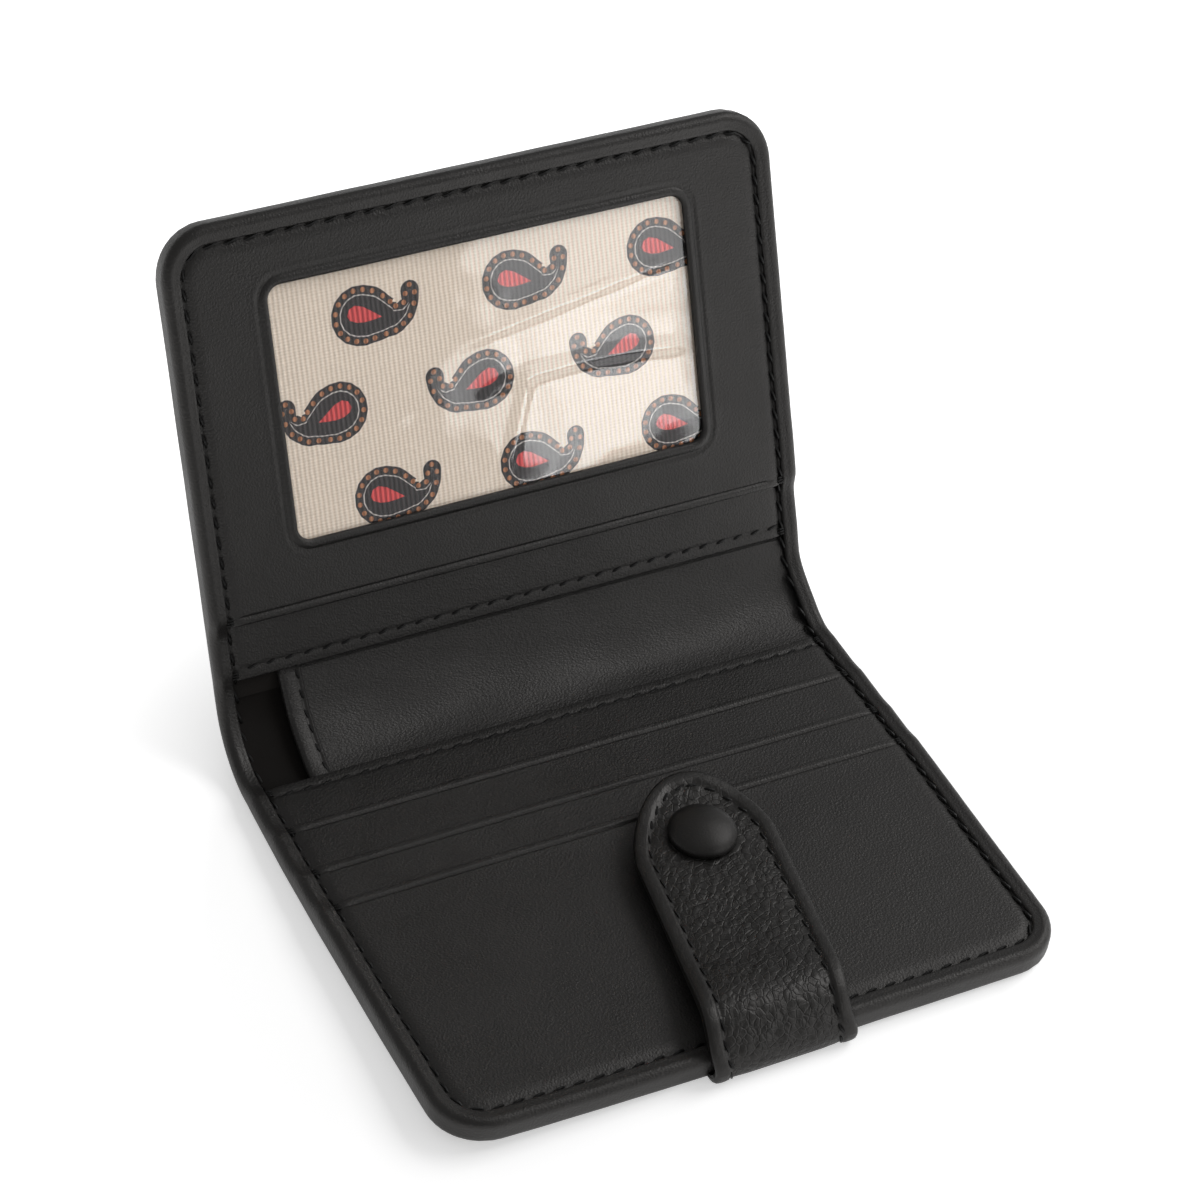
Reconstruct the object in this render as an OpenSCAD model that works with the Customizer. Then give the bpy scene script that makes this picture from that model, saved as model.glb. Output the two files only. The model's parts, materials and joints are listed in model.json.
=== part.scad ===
// Small bifold wallet standing open: two pocket panels, a bending spine and a snap tab.
// X runs along the spine, +Y goes back, +Z goes up. All sizes are in millimetres.
// The origin is at the bottom centre of the open wallet's bounding box.
// The lower panel lies flat, the upper panel leans back on the spine.

/* [Overall] */
// width of both panels, measured along the spine
wallet_width = 112; // [100:0.5:130]
// length of a panel, from its hinge line to its free edge
panel_length = 81.6; // [78:0.2:95]
// rounding of the four outer corners
corner_radius = 9; // [6:0.5:12]
// how far the upper panel is turned up from lying flat, in degrees
open_turn = 64.5; // [50:0.5:80]
// length of the bending leather between the two hinge lines
spine_arc = 17; // [16.5:0.5:22]

/* [Cover and linings] */
// outer leather
cover_thickness = 1.2; // [1:0.1:1.6]
// stiffening board inside each panel
board_thickness = 0.4; // [0.3:0.1:0.8]
// thin lining against the cover
lining_thickness = 0.3; // [0.2:0.1:0.5]
// air between loose layers
layer_gap = 0.05; // [0.04:0.01:0.12]
// free space beside each hinge line
hinge_gap = 0.15; // [0.1:0.05:0.3]

/* [Edge band] */
// width of the turned edge, seen from inside
band_width = 3.7; // [3:0.1:5]
// leather outside the ends of the layers
band_wall = 1; // [0.8:0.1:1.4]
// leather over the top layer
band_cover = 0.7; // [0.5:0.1:1]
// rounding of the edge towards the inside of the wallet
band_round = 1.5; // [1:0.1:1.6]
// rounding of the edge towards the outside of the wallet
band_foot_round = 0.8; // [0.4:0.1:0.8]
// free space between the layers and the band's wall
band_clearance = 0.1; // [0.05:0.05:0.2]

/* [Lower pockets] */
// from the hinge line to the lower slip pocket's mouth
lower_mouth = 1.75; // [1.7:0.05:3]
// from the hinge line to the first card slot's mouth
slot_1_mouth = 11.2; // [9:0.1:13]
// from the hinge line to the second card slot's mouth
slot_2_mouth = 21.3; // [18:0.1:24]
// from the hinge line to the third card slot's mouth
slot_3_mouth = 29.8; // [27:0.1:36]
// leather of a slip pocket
pocket_thickness = 0.5; // [0.4:0.1:0.8]
// leather of the first two card slots
slot_thickness = 0.4; // [0.3:0.1:0.6]
// leather of the front card slot
front_slot_thickness = 0.5; // [0.4:0.1:0.8]
// from a mouth to the line pressed beside it
crease_offset = 1.3; // [1:0.1:2]
// width of a pressed line
crease_width = 0.5; // [0.3:0.1:0.8]
// depth of a pressed line
crease_depth = 0.12; // [0.05:0.01:0.2]

/* [Upper pockets] */
// from the hinge line to the upper slip pocket's mouth
upper_mouth = 4.2; // [2.5:0.1:7]
// from the hinge line to the identity pocket's mouth
id_mouth = 14; // [10:0.1:18]
// leather of the identity pocket's frame
id_thickness = 0.7; // [0.5:0.1:1]
// window opening along the spine
window_width = 76.2; // [68:0.1:84]
// window opening across the panel
window_height = 43.7; // [38:0.1:46]
// from the panel's free edge to the window
window_from_edge = 12.2; // [10:0.1:14]
// rounding of the window's corners
window_corner = 2.5; // [1.5:0.1:5]
// width of the raised rim round the window
rim_width = 1.6; // [1:0.1:2.4]
// height of that rim over the frame
rim_height = 0.25; // [0.1:0.05:0.5]
// clear film behind the window
film_thickness = 0.2; // [0.1:0.05:0.3]
// how far the film runs past the window on each side
film_margin = 4; // [2:0.5:6]
// printed cloth behind the film
cloth_thickness = 0.25; // [0.2:0.05:0.5]
// room for a card between the cloth and the film
card_gap = 0.15; // [0.1:0.05:0.4]

/* [Bill divider] */
// thin leather sheet that bridges the spine
divider_thickness = 0.4; // [0.3:0.1:0.6]
// from the wallet's left edge to the divider's free edge
divider_inset = 12; // [8:0.5:20]
// how far the divider runs under each slip pocket
divider_reach = 28; // [15:1:60]
// how slowly the divider bends where it leaves a pocket
divider_bend = 2; // [1:0.5:5]
// air between the lining and the divider
bill_gap = 0.1; // [0.05:0.05:0.5]

/* [Tab] */
// tab's centre line at the front edge, right of the wallet's centre
tab_offset = 2; // [-20:1:20]
// how far the tab leans to the right on its way to the snap
tab_lean = 6; // [-8:0.5:8]
// width of the tab
tab_width = 25.6; // [18:0.2:32]
// grained leather on the tab's outer side
tab_outer_thickness = 1; // [0.8:0.1:1.4]
// plain leather on the tab's inner side
tab_lining_thickness = 0.8; // [0.6:0.1:1.2]
// width of the turned edge along the tab's sides and tip
tab_hem = 2.4; // [1.5:0.1:3]
// how far that edge stands over the leather between
tab_hem_height = 0.25; // [0.1:0.05:0.4]
// from the wallet's front edge to the snap's centre
snap_from_edge = 40.3; // [34:0.1:46]
// from the snap's centre to the tab's tip
tip_beyond_snap = 12; // [10:0.5:16]
// length over which the tab rounds off to its tip
tip_length = 15; // [10:0.5:20]
// free space between the tab and the wallet's front edge
tab_clearance = 0.4; // [0.3:0.1:1]
// free space at the tab's three bends
bend_gap = 0.2; // [0.15:0.05:0.4]
// part of the tab that is sewn under the cover
root_length = 18; // [12:1:30]
// leather of the tab where it is sewn under the cover
root_thickness = 0.8; // [0.5:0.1:0.9]

/* [Snap] */
// leather covered cap on the tab
cap_diameter = 12.4; // [10:0.1:15]
// height of the cap over the tab
cap_height = 2.4; // [1.8:0.1:3]
// metal socket under the tab
socket_diameter = 10; // [8:0.1:12]
// height of the socket under the tab
socket_height = 2.2; // [2.1:0.1:2.8]
// foot of the stud on the upper cover
stud_base_diameter = 9.5; // [8:0.1:12]
// thickness of that foot
stud_base_thickness = 0.4; // [0.3:0.1:0.6]
// head of the stud
stud_head_diameter = 4.2; // [3.6:0.1:5]
// neck under the stud's head
stud_neck_diameter = 3.6; // [3:0.1:4]
// height of the stud over its foot
stud_height = 1.6; // [1.4:0.1:1.8]
// rivet that holds each snap part in the leather
rivet_diameter = 3; // [2:0.1:3.4]
// free space round the stud when it is snapped in
snap_clearance = 0.15; // [0.1:0.01:0.3]
// free space between the socket and what it lies on
seat_gap = 0.25; // [0.2:0.05:0.5]

/* [Hidden] */
$fn = 48;
half_turn = open_turn / 2;
spine_radius = spine_arc / (open_turn * PI / 180);
chord = 2 * spine_radius * sin(half_turn);
hinge_height = (cover_thickness + lining_thickness) / 2;
close_half = (180 - open_turn) / 4;
flat_half = open_turn / 4;

// heights of the layers over the outside of the cover
board_low = cover_thickness;
lining_low = board_low + board_thickness;
divider_low = lining_low + lining_thickness + bill_gap;
slip_low = divider_low + divider_thickness + layer_gap;
slip_top = slip_low + pocket_thickness;
slot_1_low = slip_top + layer_gap;
slot_1_top = slot_1_low + slot_thickness;
slot_2_low = slot_1_top + layer_gap;
slot_2_top = slot_2_low + slot_thickness;
slot_3_low = slot_2_top + layer_gap;
slot_3_top = slot_3_low + front_slot_thickness;
cloth_low = slip_top + layer_gap;
film_low = cloth_low + cloth_thickness + card_gap;
id_low = film_low + film_thickness;
id_top = id_low + id_thickness;
spine_top = cover_thickness + lining_thickness;

// the tab's bends and the snap
tab_thickness = tab_outer_thickness + tab_lining_thickness;
strap_low = slot_3_top + seat_gap + socket_height;
strap_middle = strap_low + tab_thickness / 2;
closed_height = chord + 2 * hinge_height;
wrap_low = closed_height + stud_base_thickness + seat_gap + socket_height;
bridge_length = wrap_low - strap_low;
stud_from_edge = snap_from_edge - bridge_length;
layer_inset = band_wall + band_clearance;

// places in the row's frame
front_depth = panel_length + tab_clearance + tab_thickness;
upper_run = (panel_length - band_foot_round) * cos(open_turn);
upper_back = (hinge_height - band_foot_round) * sin(open_turn) + band_foot_round;
back_depth = chord * cos(half_turn) + upper_run + upper_back;
hinge_y = (front_depth - back_depth) / 2;
upper_y = hinge_y + chord * cos(half_turn);
upper_z = hinge_height + chord * sin(half_turn);
tab_y = hinge_y - panel_length - tab_clearance - tab_thickness / 2;
snap_y = hinge_y - panel_length + snap_from_edge;
snap_x = tab_offset + tab_lean;
bridge_end_y = tab_y + bridge_length;

// middle of the leaning tab at a place in y
function tab_x(y) = tab_offset + tab_lean * (y - tab_y) / (snap_y - tab_y);

// how far a layer stays behind its hinge line so that both folds stay free
function setback(w) = hinge_gap
    + (w > hinge_height ? (w - hinge_height) * tan(close_half) : (hinge_height - w) * tan(flat_half));

// height of the edge band where it closes layers up to a given height
function band_top(top) = top + layer_gap + band_cover;

// panel places: x along the spine, y from the hinge line to the free edge, z from outside to inside
module on_lower() {
    translate([0, hinge_y, 0]) mirror([0, 1, 0]) children();
}

module on_upper() {
    translate([0, upper_y, upper_z])
        rotate([open_turn, 0, 0])
            translate([0, 0, -hinge_height]) children();
}

// panel outline from a start line to the free edge, drawn in by an inset
module outline(start, inset) {
    half = wallet_width / 2 - inset;
    end = panel_length - inset;
    r = corner_radius - inset;
    translate([-half, start]) square([2 * half, end - r - start]);
    translate([-half + r, start]) square([2 * (half - r), end - start]);
    for (s = [-1, 1]) translate([s * (half - r), end - r]) circle(r);
}

module layer(low, thickness, start) {
    translate([0, 0, low]) linear_extrude(thickness) outline(start, layer_inset);
}

// a pocket layer with a rounded mouth and a pressed line beside it
module pocket(low, thickness, mouth) {
    half = wallet_width / 2 - layer_inset;
    line = wallet_width / 2 - band_width - 1;
    difference() {
        union() {
            layer(low, thickness, mouth + thickness / 2);
            translate([-half, mouth + thickness / 2, low + thickness / 2])
                rotate([0, 90, 0]) cylinder(d = thickness, h = 2 * half);
        }
        translate([-line, mouth + crease_offset, low + thickness - crease_depth])
            cube([2 * line, crease_width, 1]);
    }
}

// section of the edge band: x from the outside inwards, y from the cover up
module band_section(top) {
    high = band_top(top);
    foot = band_foot_round;
    r = min(band_round, high / 2);
    difference() {
        union() {
            translate([r, foot]) square([band_width - r, high - foot]);
            translate([0, foot]) square([r, high - r - foot]);
            translate([foot, 0]) square([band_width - foot, high - r]);
            translate([r, high - r]) circle(r);
            translate([foot, foot]) circle(foot);
        }
        translate([band_wall, -1]) square([band_width, top + layer_gap + 1]);
    }
}

// both side runs of the band between two distances from the hinge line
module band_sides(top, from, to) {
    for (s = [0, 1]) mirror([s, 0, 0])
        translate([wallet_width / 2, from, 0]) mirror([1, 0, 0])
            translate([0, to - from, 0]) rotate([90, 0, 0])
                linear_extrude(to - from) band_section(top);
}

// the band's two corners and its run along the free edge
module band_end(top) {
    side = wallet_width / 2 - corner_radius;
    for (s = [0, 1]) mirror([s, 0, 0])
        translate([side, panel_length - corner_radius, 0])
            rotate_extrude(angle = 90)
                translate([corner_radius, 0]) mirror([1, 0]) band_section(top);
    translate([side, panel_length, 0]) rotate([90, 0, -90])
        linear_extrude(2 * side) band_section(top);
}

// space that the spine's parts may fill, drawn from one hinge line
module spine_side() {
    far = spine_arc * 3;
    deep = spine_arc;
    polygon([
        [setback(hinge_height - deep), -deep],
        [hinge_gap, 0],
        [setback(hinge_height + deep), deep],
        [far, deep],
        [far, -deep]
    ]);
}

module spine_space() {
    intersection() {
        translate([hinge_y, hinge_height]) spine_side();
        translate([upper_y, upper_z]) rotate(open_turn) mirror([1, 0]) spine_side();
    }
}

module along_x(from, to) {
    translate([from, 0, 0]) rotate([90, 0, 90]) linear_extrude(to - from) children();
}

// a band round the spine's bend between two heights over the cover's outside
module spine_arc_section(low, high) {
    centre = hinge_height + spine_radius;
    intersection() {
        translate([hinge_y, centre]) difference() {
            circle(centre - low, $fn = 180);
            circle(centre - high, $fn = 180);
        }
        spine_space();
    }
}

// middle line of the divider: flat under a pocket, bent at its mouth, nearly straight across
divider_mid = divider_low + divider_thickness / 2;
up_y = cos(open_turn);
up_z = sin(open_turn);
function upper_point(v, w) = [
    upper_y + v * up_y - (w - hinge_height) * up_z,
    upper_z + v * up_z + (w - hinge_height) * up_y
];
bridge_start = [hinge_y - lower_mouth, divider_mid];
bridge_stop = upper_point(upper_mouth, divider_mid);
bridge_handle_1 = bridge_start + [divider_bend, 0];
bridge_handle_2 = bridge_stop - divider_bend * [up_y, up_z];
function bend_point(t) = pow(1 - t, 3) * bridge_start + 3 * pow(1 - t, 2) * t * bridge_handle_1
    + 3 * (1 - t) * t * t * bridge_handle_2 + pow(t, 3) * bridge_stop;
function bend_slope(t) = 3 * pow(1 - t, 2) * (bridge_handle_1 - bridge_start)
    + 6 * (1 - t) * t * (bridge_handle_2 - bridge_handle_1)
    + 3 * t * t * (bridge_stop - bridge_handle_2);
function bend_normal(t) = let (d = bend_slope(t)) [-d[1], d[0]] / norm(d);
bend_steps = 20;
function divider_side(offset_by) = concat(
    [[hinge_y - lower_mouth - divider_reach, divider_mid + offset_by]],
    [for (i = [0:bend_steps]) bend_point(i / bend_steps) + offset_by * bend_normal(i / bend_steps)],
    [upper_point(upper_mouth + divider_reach, divider_mid + offset_by)]
);
function turned(list) = [for (i = [len(list) - 1:-1:0]) list[i]];

// window shape with rounded corners, grown by an amount
module window_shape(grow) {
    w = window_width / 2 + grow;
    low = panel_length - window_from_edge - window_height - grow;
    high = panel_length - window_from_edge + grow;
    r = window_corner + grow;
    translate([-w + r, low]) square([2 * (w - r), high - low]);
    translate([-w, low + r]) square([2 * w, high - low - 2 * r]);
    for (x = [-1, 1]) for (y = [low + r, high - r]) translate([x * (w - r), y]) circle(r);
}

module cover_lower() {
    color("#1b1a1c") on_lower() difference() {
        layer(0, cover_thickness, setback(cover_thickness));
        translate([tab_offset - tab_width / 2 - 0.2, panel_length - root_length - 0.2, -1])
            cube([tab_width + 0.4, root_length + 2, root_thickness + 1 + layer_gap]);
    }
}

module board_lower() {
    color("#5b5148") on_lower() layer(board_low, board_thickness, setback(lining_low) + 0.5);
}

module lining_lower() {
    color("#232226") on_lower()
        layer(lining_low, lining_thickness, setback(lining_low + lining_thickness));
}

module slip_pocket_lower() {
    color("#2a292c") on_lower() pocket(slip_low, pocket_thickness, lower_mouth);
}

module card_slot_1() {
    color("#2d2c2f") on_lower() pocket(slot_1_low, slot_thickness, slot_1_mouth);
}

module card_slot_2() {
    color("#303032") on_lower() pocket(slot_2_low, slot_thickness, slot_2_mouth);
}

module card_slot_3() {
    color("#333335") on_lower() pocket(slot_3_low, front_slot_thickness, slot_3_mouth);
}

// the band steps down with the layers that it closes
module edge_band_lower() {
    color("#161517") on_lower() difference() {
        union() {
            band_sides(slip_top, setback(band_top(slip_top)), slot_1_mouth);
            band_sides(slot_1_top, slot_1_mouth, slot_2_mouth);
            band_sides(slot_2_top, slot_2_mouth, slot_3_mouth);
            band_sides(slot_3_top, slot_3_mouth, panel_length - corner_radius);
            band_end(slot_3_top);
        }
        translate([tab_offset - tab_width / 2 - 0.2, panel_length - band_width - 1, -1])
            cube([tab_width + 0.4, band_width + 2, root_thickness + 1 + layer_gap]);
    }
}

module cover_spine() {
    half = wallet_width / 2 - layer_inset;
    color("#1b1a1c") along_x(-half, half) spine_arc_section(0, cover_thickness);
}

module lining_spine() {
    half = wallet_width / 2 - layer_inset;
    color("#232226") along_x(-half, half) spine_arc_section(cover_thickness, spine_top);
}

module spine_band(side) {
    centre = hinge_height + spine_radius;
    intersection() {
        translate([0, hinge_y, centre]) rotate([0, 90, 0])
            rotate_extrude(angle = open_turn, $fn = 180)
                mirror([0, side]) translate([centre, -wallet_width / 2]) rotate(90)
                    band_section(spine_top);
        along_x(-wallet_width, wallet_width) spine_space();
    }
}

module spine_edge_left() {
    color("#161517") spine_band(0);
}

// closed end of the bill space: the right band, built up to the divider that is sewn into it
module spine_edge_right() {
    color("#161517") union() {
        spine_band(1);
        along_x(wallet_width / 2 - band_width, wallet_width / 2 - band_round / 2) intersection() {
            polygon(concat(
                [for (i = [0:bend_steps]) bend_point(i / bend_steps) + divider_thickness * bend_normal(i / bend_steps)],
                [for (i = [0:bend_steps])
                    let (a = open_turn * (1 - i / bend_steps), r = spine_radius - cover_thickness)
                    [hinge_y + r * sin(a), hinge_height + spine_radius - r * cos(a)]]
            ));
            spine_space();
        }
    }
}

// the bridge ends beside the right band, the parts under the pockets run into it
module bill_divider() {
    left = -wallet_width / 2 + divider_inset;
    color("#29282b") union() {
        along_x(left, wallet_width / 2 - band_width - band_clearance)
            polygon(concat(
                divider_side(divider_thickness / 2),
                turned(divider_side(-divider_thickness / 2))
            ));
        on_lower() translate([left, lower_mouth + 0.5, divider_low])
            cube([wallet_width / 2 - layer_inset - left, divider_reach - 0.5, divider_thickness]);
        on_upper() translate([left, upper_mouth + 0.5, divider_low])
            cube([wallet_width / 2 - layer_inset - left, divider_reach - 0.5, divider_thickness]);
    }
}

module cover_upper() {
    color("#1b1a1c") on_upper() difference() {
        layer(0, cover_thickness, setback(cover_thickness));
        translate([snap_x, panel_length - stud_from_edge, -1])
            cylinder(d = rivet_diameter + 0.1, h = cover_thickness + 2);
    }
}

module board_upper() {
    color("#5b5148") on_upper() difference() {
        layer(board_low, board_thickness, setback(lining_low) + 0.5);
        translate([snap_x, panel_length - stud_from_edge, board_low - 1])
            cylinder(d = stud_base_diameter + 0.4, h = board_thickness + 2);
    }
}

module lining_upper() {
    color("#232226") on_upper()
        layer(lining_low, lining_thickness, setback(lining_low + lining_thickness));
}

module slip_pocket_upper() {
    color("#2a292c") on_upper() pocket(slip_low, pocket_thickness, upper_mouth);
}

module window_cloth() {
    color("#cfc3ac") on_upper() layer(cloth_low, cloth_thickness, id_mouth + 1.5);
}

module window_film() {
    color("#dfe6ea") on_upper() translate([0, 0, film_low])
        linear_extrude(film_thickness) window_shape(film_margin);
}

module id_frame() {
    inner = rim_width + 1.1;
    color("#2c2b2e") on_upper() difference() {
        union() {
            pocket(id_low, id_thickness, id_mouth);
            translate([0, 0, id_top - 0.2])
                linear_extrude(rim_height + 0.2) window_shape(rim_width);
        }
        translate([0, 0, id_low - 1])
            linear_extrude(id_thickness + rim_height + 2) window_shape(0);
        translate([0, 0, id_top - crease_depth])
            linear_extrude(1) difference() {
                window_shape(inner + crease_width);
                window_shape(inner);
            }
    }
}

module edge_band_upper() {
    color("#161517") on_upper() union() {
        band_sides(slip_top, setback(band_top(slip_top)), id_mouth);
        band_sides(id_top, id_mouth, panel_length - corner_radius);
        band_end(id_top);
    }
}

// stud on the outside of the upper cover, riveted through the leather
module snap_stud() {
    color("#8d8a84") on_upper() translate([snap_x, panel_length - stud_from_edge, 0])
        rotate_extrude() polygon([
            [0, -stud_base_thickness - stud_height],
            [stud_head_diameter / 2 - 0.4, -stud_base_thickness - stud_height],
            [stud_head_diameter / 2, -stud_base_thickness - stud_height + 0.35],
            [stud_head_diameter / 2, -stud_base_thickness - stud_height + 0.8],
            [stud_neck_diameter / 2, -stud_base_thickness - stud_height + 1.1],
            [stud_neck_diameter / 2, -stud_base_thickness],
            [stud_base_diameter / 2 - 0.2, -stud_base_thickness],
            [stud_base_diameter / 2, 0],
            [rivet_diameter / 2, 0],
            [rivet_diameter / 2, cover_thickness],
            [stud_base_diameter / 2, cover_thickness],
            [stud_base_diameter / 2, cover_thickness + 0.35],
            [0, cover_thickness + 0.35]
        ]);
}

module tab_root() {
    color("#121113") translate([tab_offset - tab_width / 2, tab_y + tab_thickness / 2 + bend_gap, 0])
        cube([tab_width, root_length - bend_gap + tab_clearance, root_thickness]);
}

// upright part of the tab's turn round the front edge, with a round end at both bends
module tab_riser() {
    rise = strap_middle - tab_thickness / 2;
    color("#131214") translate([tab_offset - tab_width / 2, tab_y, tab_thickness / 2]) difference() {
        union() {
            for (z = [0, rise]) translate([0, 0, z])
                rotate([0, 90, 0]) cylinder(d = tab_thickness, h = tab_width);
            translate([0, -tab_thickness / 2, 0]) cube([tab_width, tab_thickness, rise]);
        }
        translate([tab_hem, tab_hem_height - tab_thickness / 2 - 1, 0])
            cube([tab_width - 2 * tab_hem, 1, rise]);
    }
}

// leaning stretch of the tab between two places in y, drawn in by an inset at its sides
module leaning(from, to, inset) {
    half = tab_width / 2 - inset;
    polygon([
        [tab_x(from) - half, from],
        [tab_x(from) + half, from],
        [tab_x(to) + half, to],
        [tab_x(to) - half, to]
    ]);
}

// first stretch of the tab over the pockets, with a round end at its bend
module tab_bridge() {
    start = tab_y + tab_thickness / 2 + bend_gap;
    color("#131214") difference() {
        intersection() {
            along_x(-wallet_width / 2, wallet_width / 2) union() {
                translate([start, strap_low]) square([bridge_end_y - start, tab_thickness]);
                translate([bridge_end_y, strap_middle]) circle(d = tab_thickness);
            }
            translate([0, 0, strap_low - 1])
                linear_extrude(tab_thickness + 2) leaning(start - 1, bridge_end_y + tab_thickness, 0);
        }
        translate([0, 0, strap_low + tab_thickness - tab_hem_height])
            linear_extrude(1) leaning(start - 1, bridge_end_y - tab_thickness, tab_hem);
    }
}

// flat part of the tab with its rounded tip, drawn in by an inset
module strap_outline(start, inset) {
    half = tab_width / 2 - inset;
    long = tip_length - inset;
    tip = snap_y + tip_beyond_snap;
    steps = 24;
    polygon(concat(
        [[tab_x(start) - half, start], [tab_x(start) + half, start]],
        [for (i = [0:steps]) let (a = 180 * i / steps, y = tip - tip_length + long * sin(a)) [
            tab_x(y) + half * cos(a) * (1 - 0.12 * sin(a)),
            y
        ]]
    ));
}

// the strap's outline with the hole for the snap's rivet
module strap_shape() {
    difference() {
        strap_outline(bridge_end_y + tab_thickness / 2 + bend_gap, 0);
        translate([snap_x, snap_y]) circle(d = rivet_diameter + 0.1);
    }
}

module tab_strap() {
    color("#131214") translate([0, 0, strap_low + tab_lining_thickness]) difference() {
        linear_extrude(tab_outer_thickness) strap_shape();
        translate([0, 0, tab_outer_thickness - tab_hem_height])
            linear_extrude(1) strap_outline(bridge_end_y, tab_hem);
    }
}

module tab_lining() {
    color("#1d1c1f") translate([0, 0, strap_low])
        linear_extrude(tab_lining_thickness) strap_shape();
}

// domed cap with its rivet through both leathers
module snap_cap() {
    low = strap_low + tab_thickness - tab_hem_height;
    r = cap_diameter / 2;
    steps = 14;
    color("#0f0e10") translate([snap_x, snap_y, low]) rotate_extrude() polygon(concat(
        [[0, strap_low - low], [rivet_diameter / 2, strap_low - low], [rivet_diameter / 2, 0], [r - 0.9, 0]],
        [for (i = [0:steps]) let (a = 90 * i / steps) [
            (r - 0.7) * cos(a) + 0.7 * cos(a) * cos(a),
            0.6 + (cap_height - 0.6) * sin(a)
        ]]
    ));
}

// socket under the tab: its well takes the stud's head
module snap_socket() {
    well = stud_head_diameter / 2 + snap_clearance;
    r = socket_diameter / 2;
    color("#8d8a84") translate([snap_x, snap_y, strap_low]) rotate_extrude() polygon([
        [0, 0],
        [r - 0.4, 0],
        [r, -0.4],
        [r, -0.9],
        [r - 1.2, -1.3],
        [r - 1.6, -socket_height],
        [well, -socket_height],
        [well, -socket_height + stud_height + snap_clearance],
        [0, -socket_height + stud_height + snap_clearance]
    ]);
}

cover_lower();
board_lower();
lining_lower();
slip_pocket_lower();
card_slot_1();
card_slot_2();
card_slot_3();
edge_band_lower();
tab_root();
bill_divider();
cover_spine();
lining_spine();
spine_edge_left();
spine_edge_right();
cover_upper();
board_upper();
lining_upper();
slip_pocket_upper();
window_cloth();
window_film();
id_frame();
edge_band_upper();
snap_stud();
tab_riser();
tab_bridge();
tab_strap();
tab_lining();
snap_cap();
snap_socket();
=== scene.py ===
"""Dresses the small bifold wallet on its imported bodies: leather, seams, window, divider and snap tab."""
import json
import math

import bmesh
import bpy
from mathutils import Matrix, Vector, noise


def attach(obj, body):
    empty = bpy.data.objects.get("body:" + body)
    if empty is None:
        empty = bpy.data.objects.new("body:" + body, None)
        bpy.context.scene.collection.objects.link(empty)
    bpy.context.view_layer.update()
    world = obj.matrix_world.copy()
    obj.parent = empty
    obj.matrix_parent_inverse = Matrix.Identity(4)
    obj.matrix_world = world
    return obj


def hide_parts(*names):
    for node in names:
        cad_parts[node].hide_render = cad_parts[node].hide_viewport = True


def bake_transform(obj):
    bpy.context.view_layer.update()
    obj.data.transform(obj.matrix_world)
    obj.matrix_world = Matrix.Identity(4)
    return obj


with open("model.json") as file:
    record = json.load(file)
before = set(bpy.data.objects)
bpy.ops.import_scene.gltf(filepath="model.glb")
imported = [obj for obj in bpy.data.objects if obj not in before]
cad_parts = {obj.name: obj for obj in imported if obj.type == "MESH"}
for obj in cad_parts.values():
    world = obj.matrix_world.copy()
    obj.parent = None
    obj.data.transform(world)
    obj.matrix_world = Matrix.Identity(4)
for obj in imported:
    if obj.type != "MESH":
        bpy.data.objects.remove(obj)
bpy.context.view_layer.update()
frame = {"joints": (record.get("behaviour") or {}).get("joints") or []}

# millimetre in the scene's metres
MM = 0.001

# wallet, in millimetres, with the construction model's own sizes
WIDTH = 112.0
PANEL = 81.6
CORNER = 9.0
OPEN = math.radians(64.5)
SPINE = 17.0
HINGE_W = 0.75
COVER = 1.2
BAND_OVER = 0.72
SLIP_TOP = 2.95
SLOT_1_TOP = 3.4
SLOT_2_TOP = 3.85
SLOT_3_TOP = 4.4
ID_TOP = 4.3
ID_LOW = 3.6
CLOTH_LOW = 3.0
FILM_LOW = 3.4
SPINE_EDGE = 2.4
LAYER_INSET = 1.1

# heights of the pockets' undersides
SLIP_LOW = 2.45
SLOT_1_LOW = 3.0
SLOT_2_LOW = 3.45
SLOT_3_LOW = 3.9

# distances from the hinge lines to the pockets' mouths
LOWER_MOUTH = 1.75
SLOT_1_MOUTH = 11.2
SLOT_2_MOUTH = 21.3
SLOT_3_MOUTH = 29.8
UPPER_MOUTH = 4.2
ID_MOUTH = 14.0

# window, measured on the upper panel
WINDOW_HALF = 38.1
WINDOW_FROM = 25.7
WINDOW_TO = 69.4
WINDOW_CORNER = 2.5

# seams: distance from the outline to the seam, and each kind of stitch as (pitch, length, radius)
SEAM = 3.4
EDGE_STITCH = (3.5, 2.75, 0.27)
MOUTH_STITCH = (3.4, 2.6, 0.27)
DIVIDER_STITCH = (3.4, 2.6, 0.26)
TAB_STITCH = (3.3, 2.6, 0.25)
MOUTH_SEAM = 2.0

# turned edge's roundings, and how far the inner leather is padded inside the seam
EDGE_FOOT = 1.7
EDGE_CREST = 1.45
PUFF = 0.42
PUFF_REACH = 1.9

# divider
DIVIDER_LEFT = -44.0
DIVIDER_W = 2.2
DIVIDER_THICK = 0.4
DIVIDER_REACH = 28.0
DIVIDER_BEND = 7.5
DIVIDER_UNDER = 4
DIVIDER_STEPS = 26
HEM = 4.0
HEM_SEAM = 3.2

# ribs of the window's cloth
RIB = 0.86

# tab
TAB_X = 2.0
TAB_LEAN = 6.0
TAB_WIDTH = 25.6
TAB_THICK = 1.8
TAB_HEM = 2.5
TAB_ROOM = 0.4
TAB_ROOT = 18.0
SNAP_FROM_EDGE = 40.3
TIP_BEYOND_SNAP = 13.2
TIP_LENGTH = 15.0
STRAP_W = 7.75
CAP_RADIUS = 5.8
CAP_HEIGHT = 3.4

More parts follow.
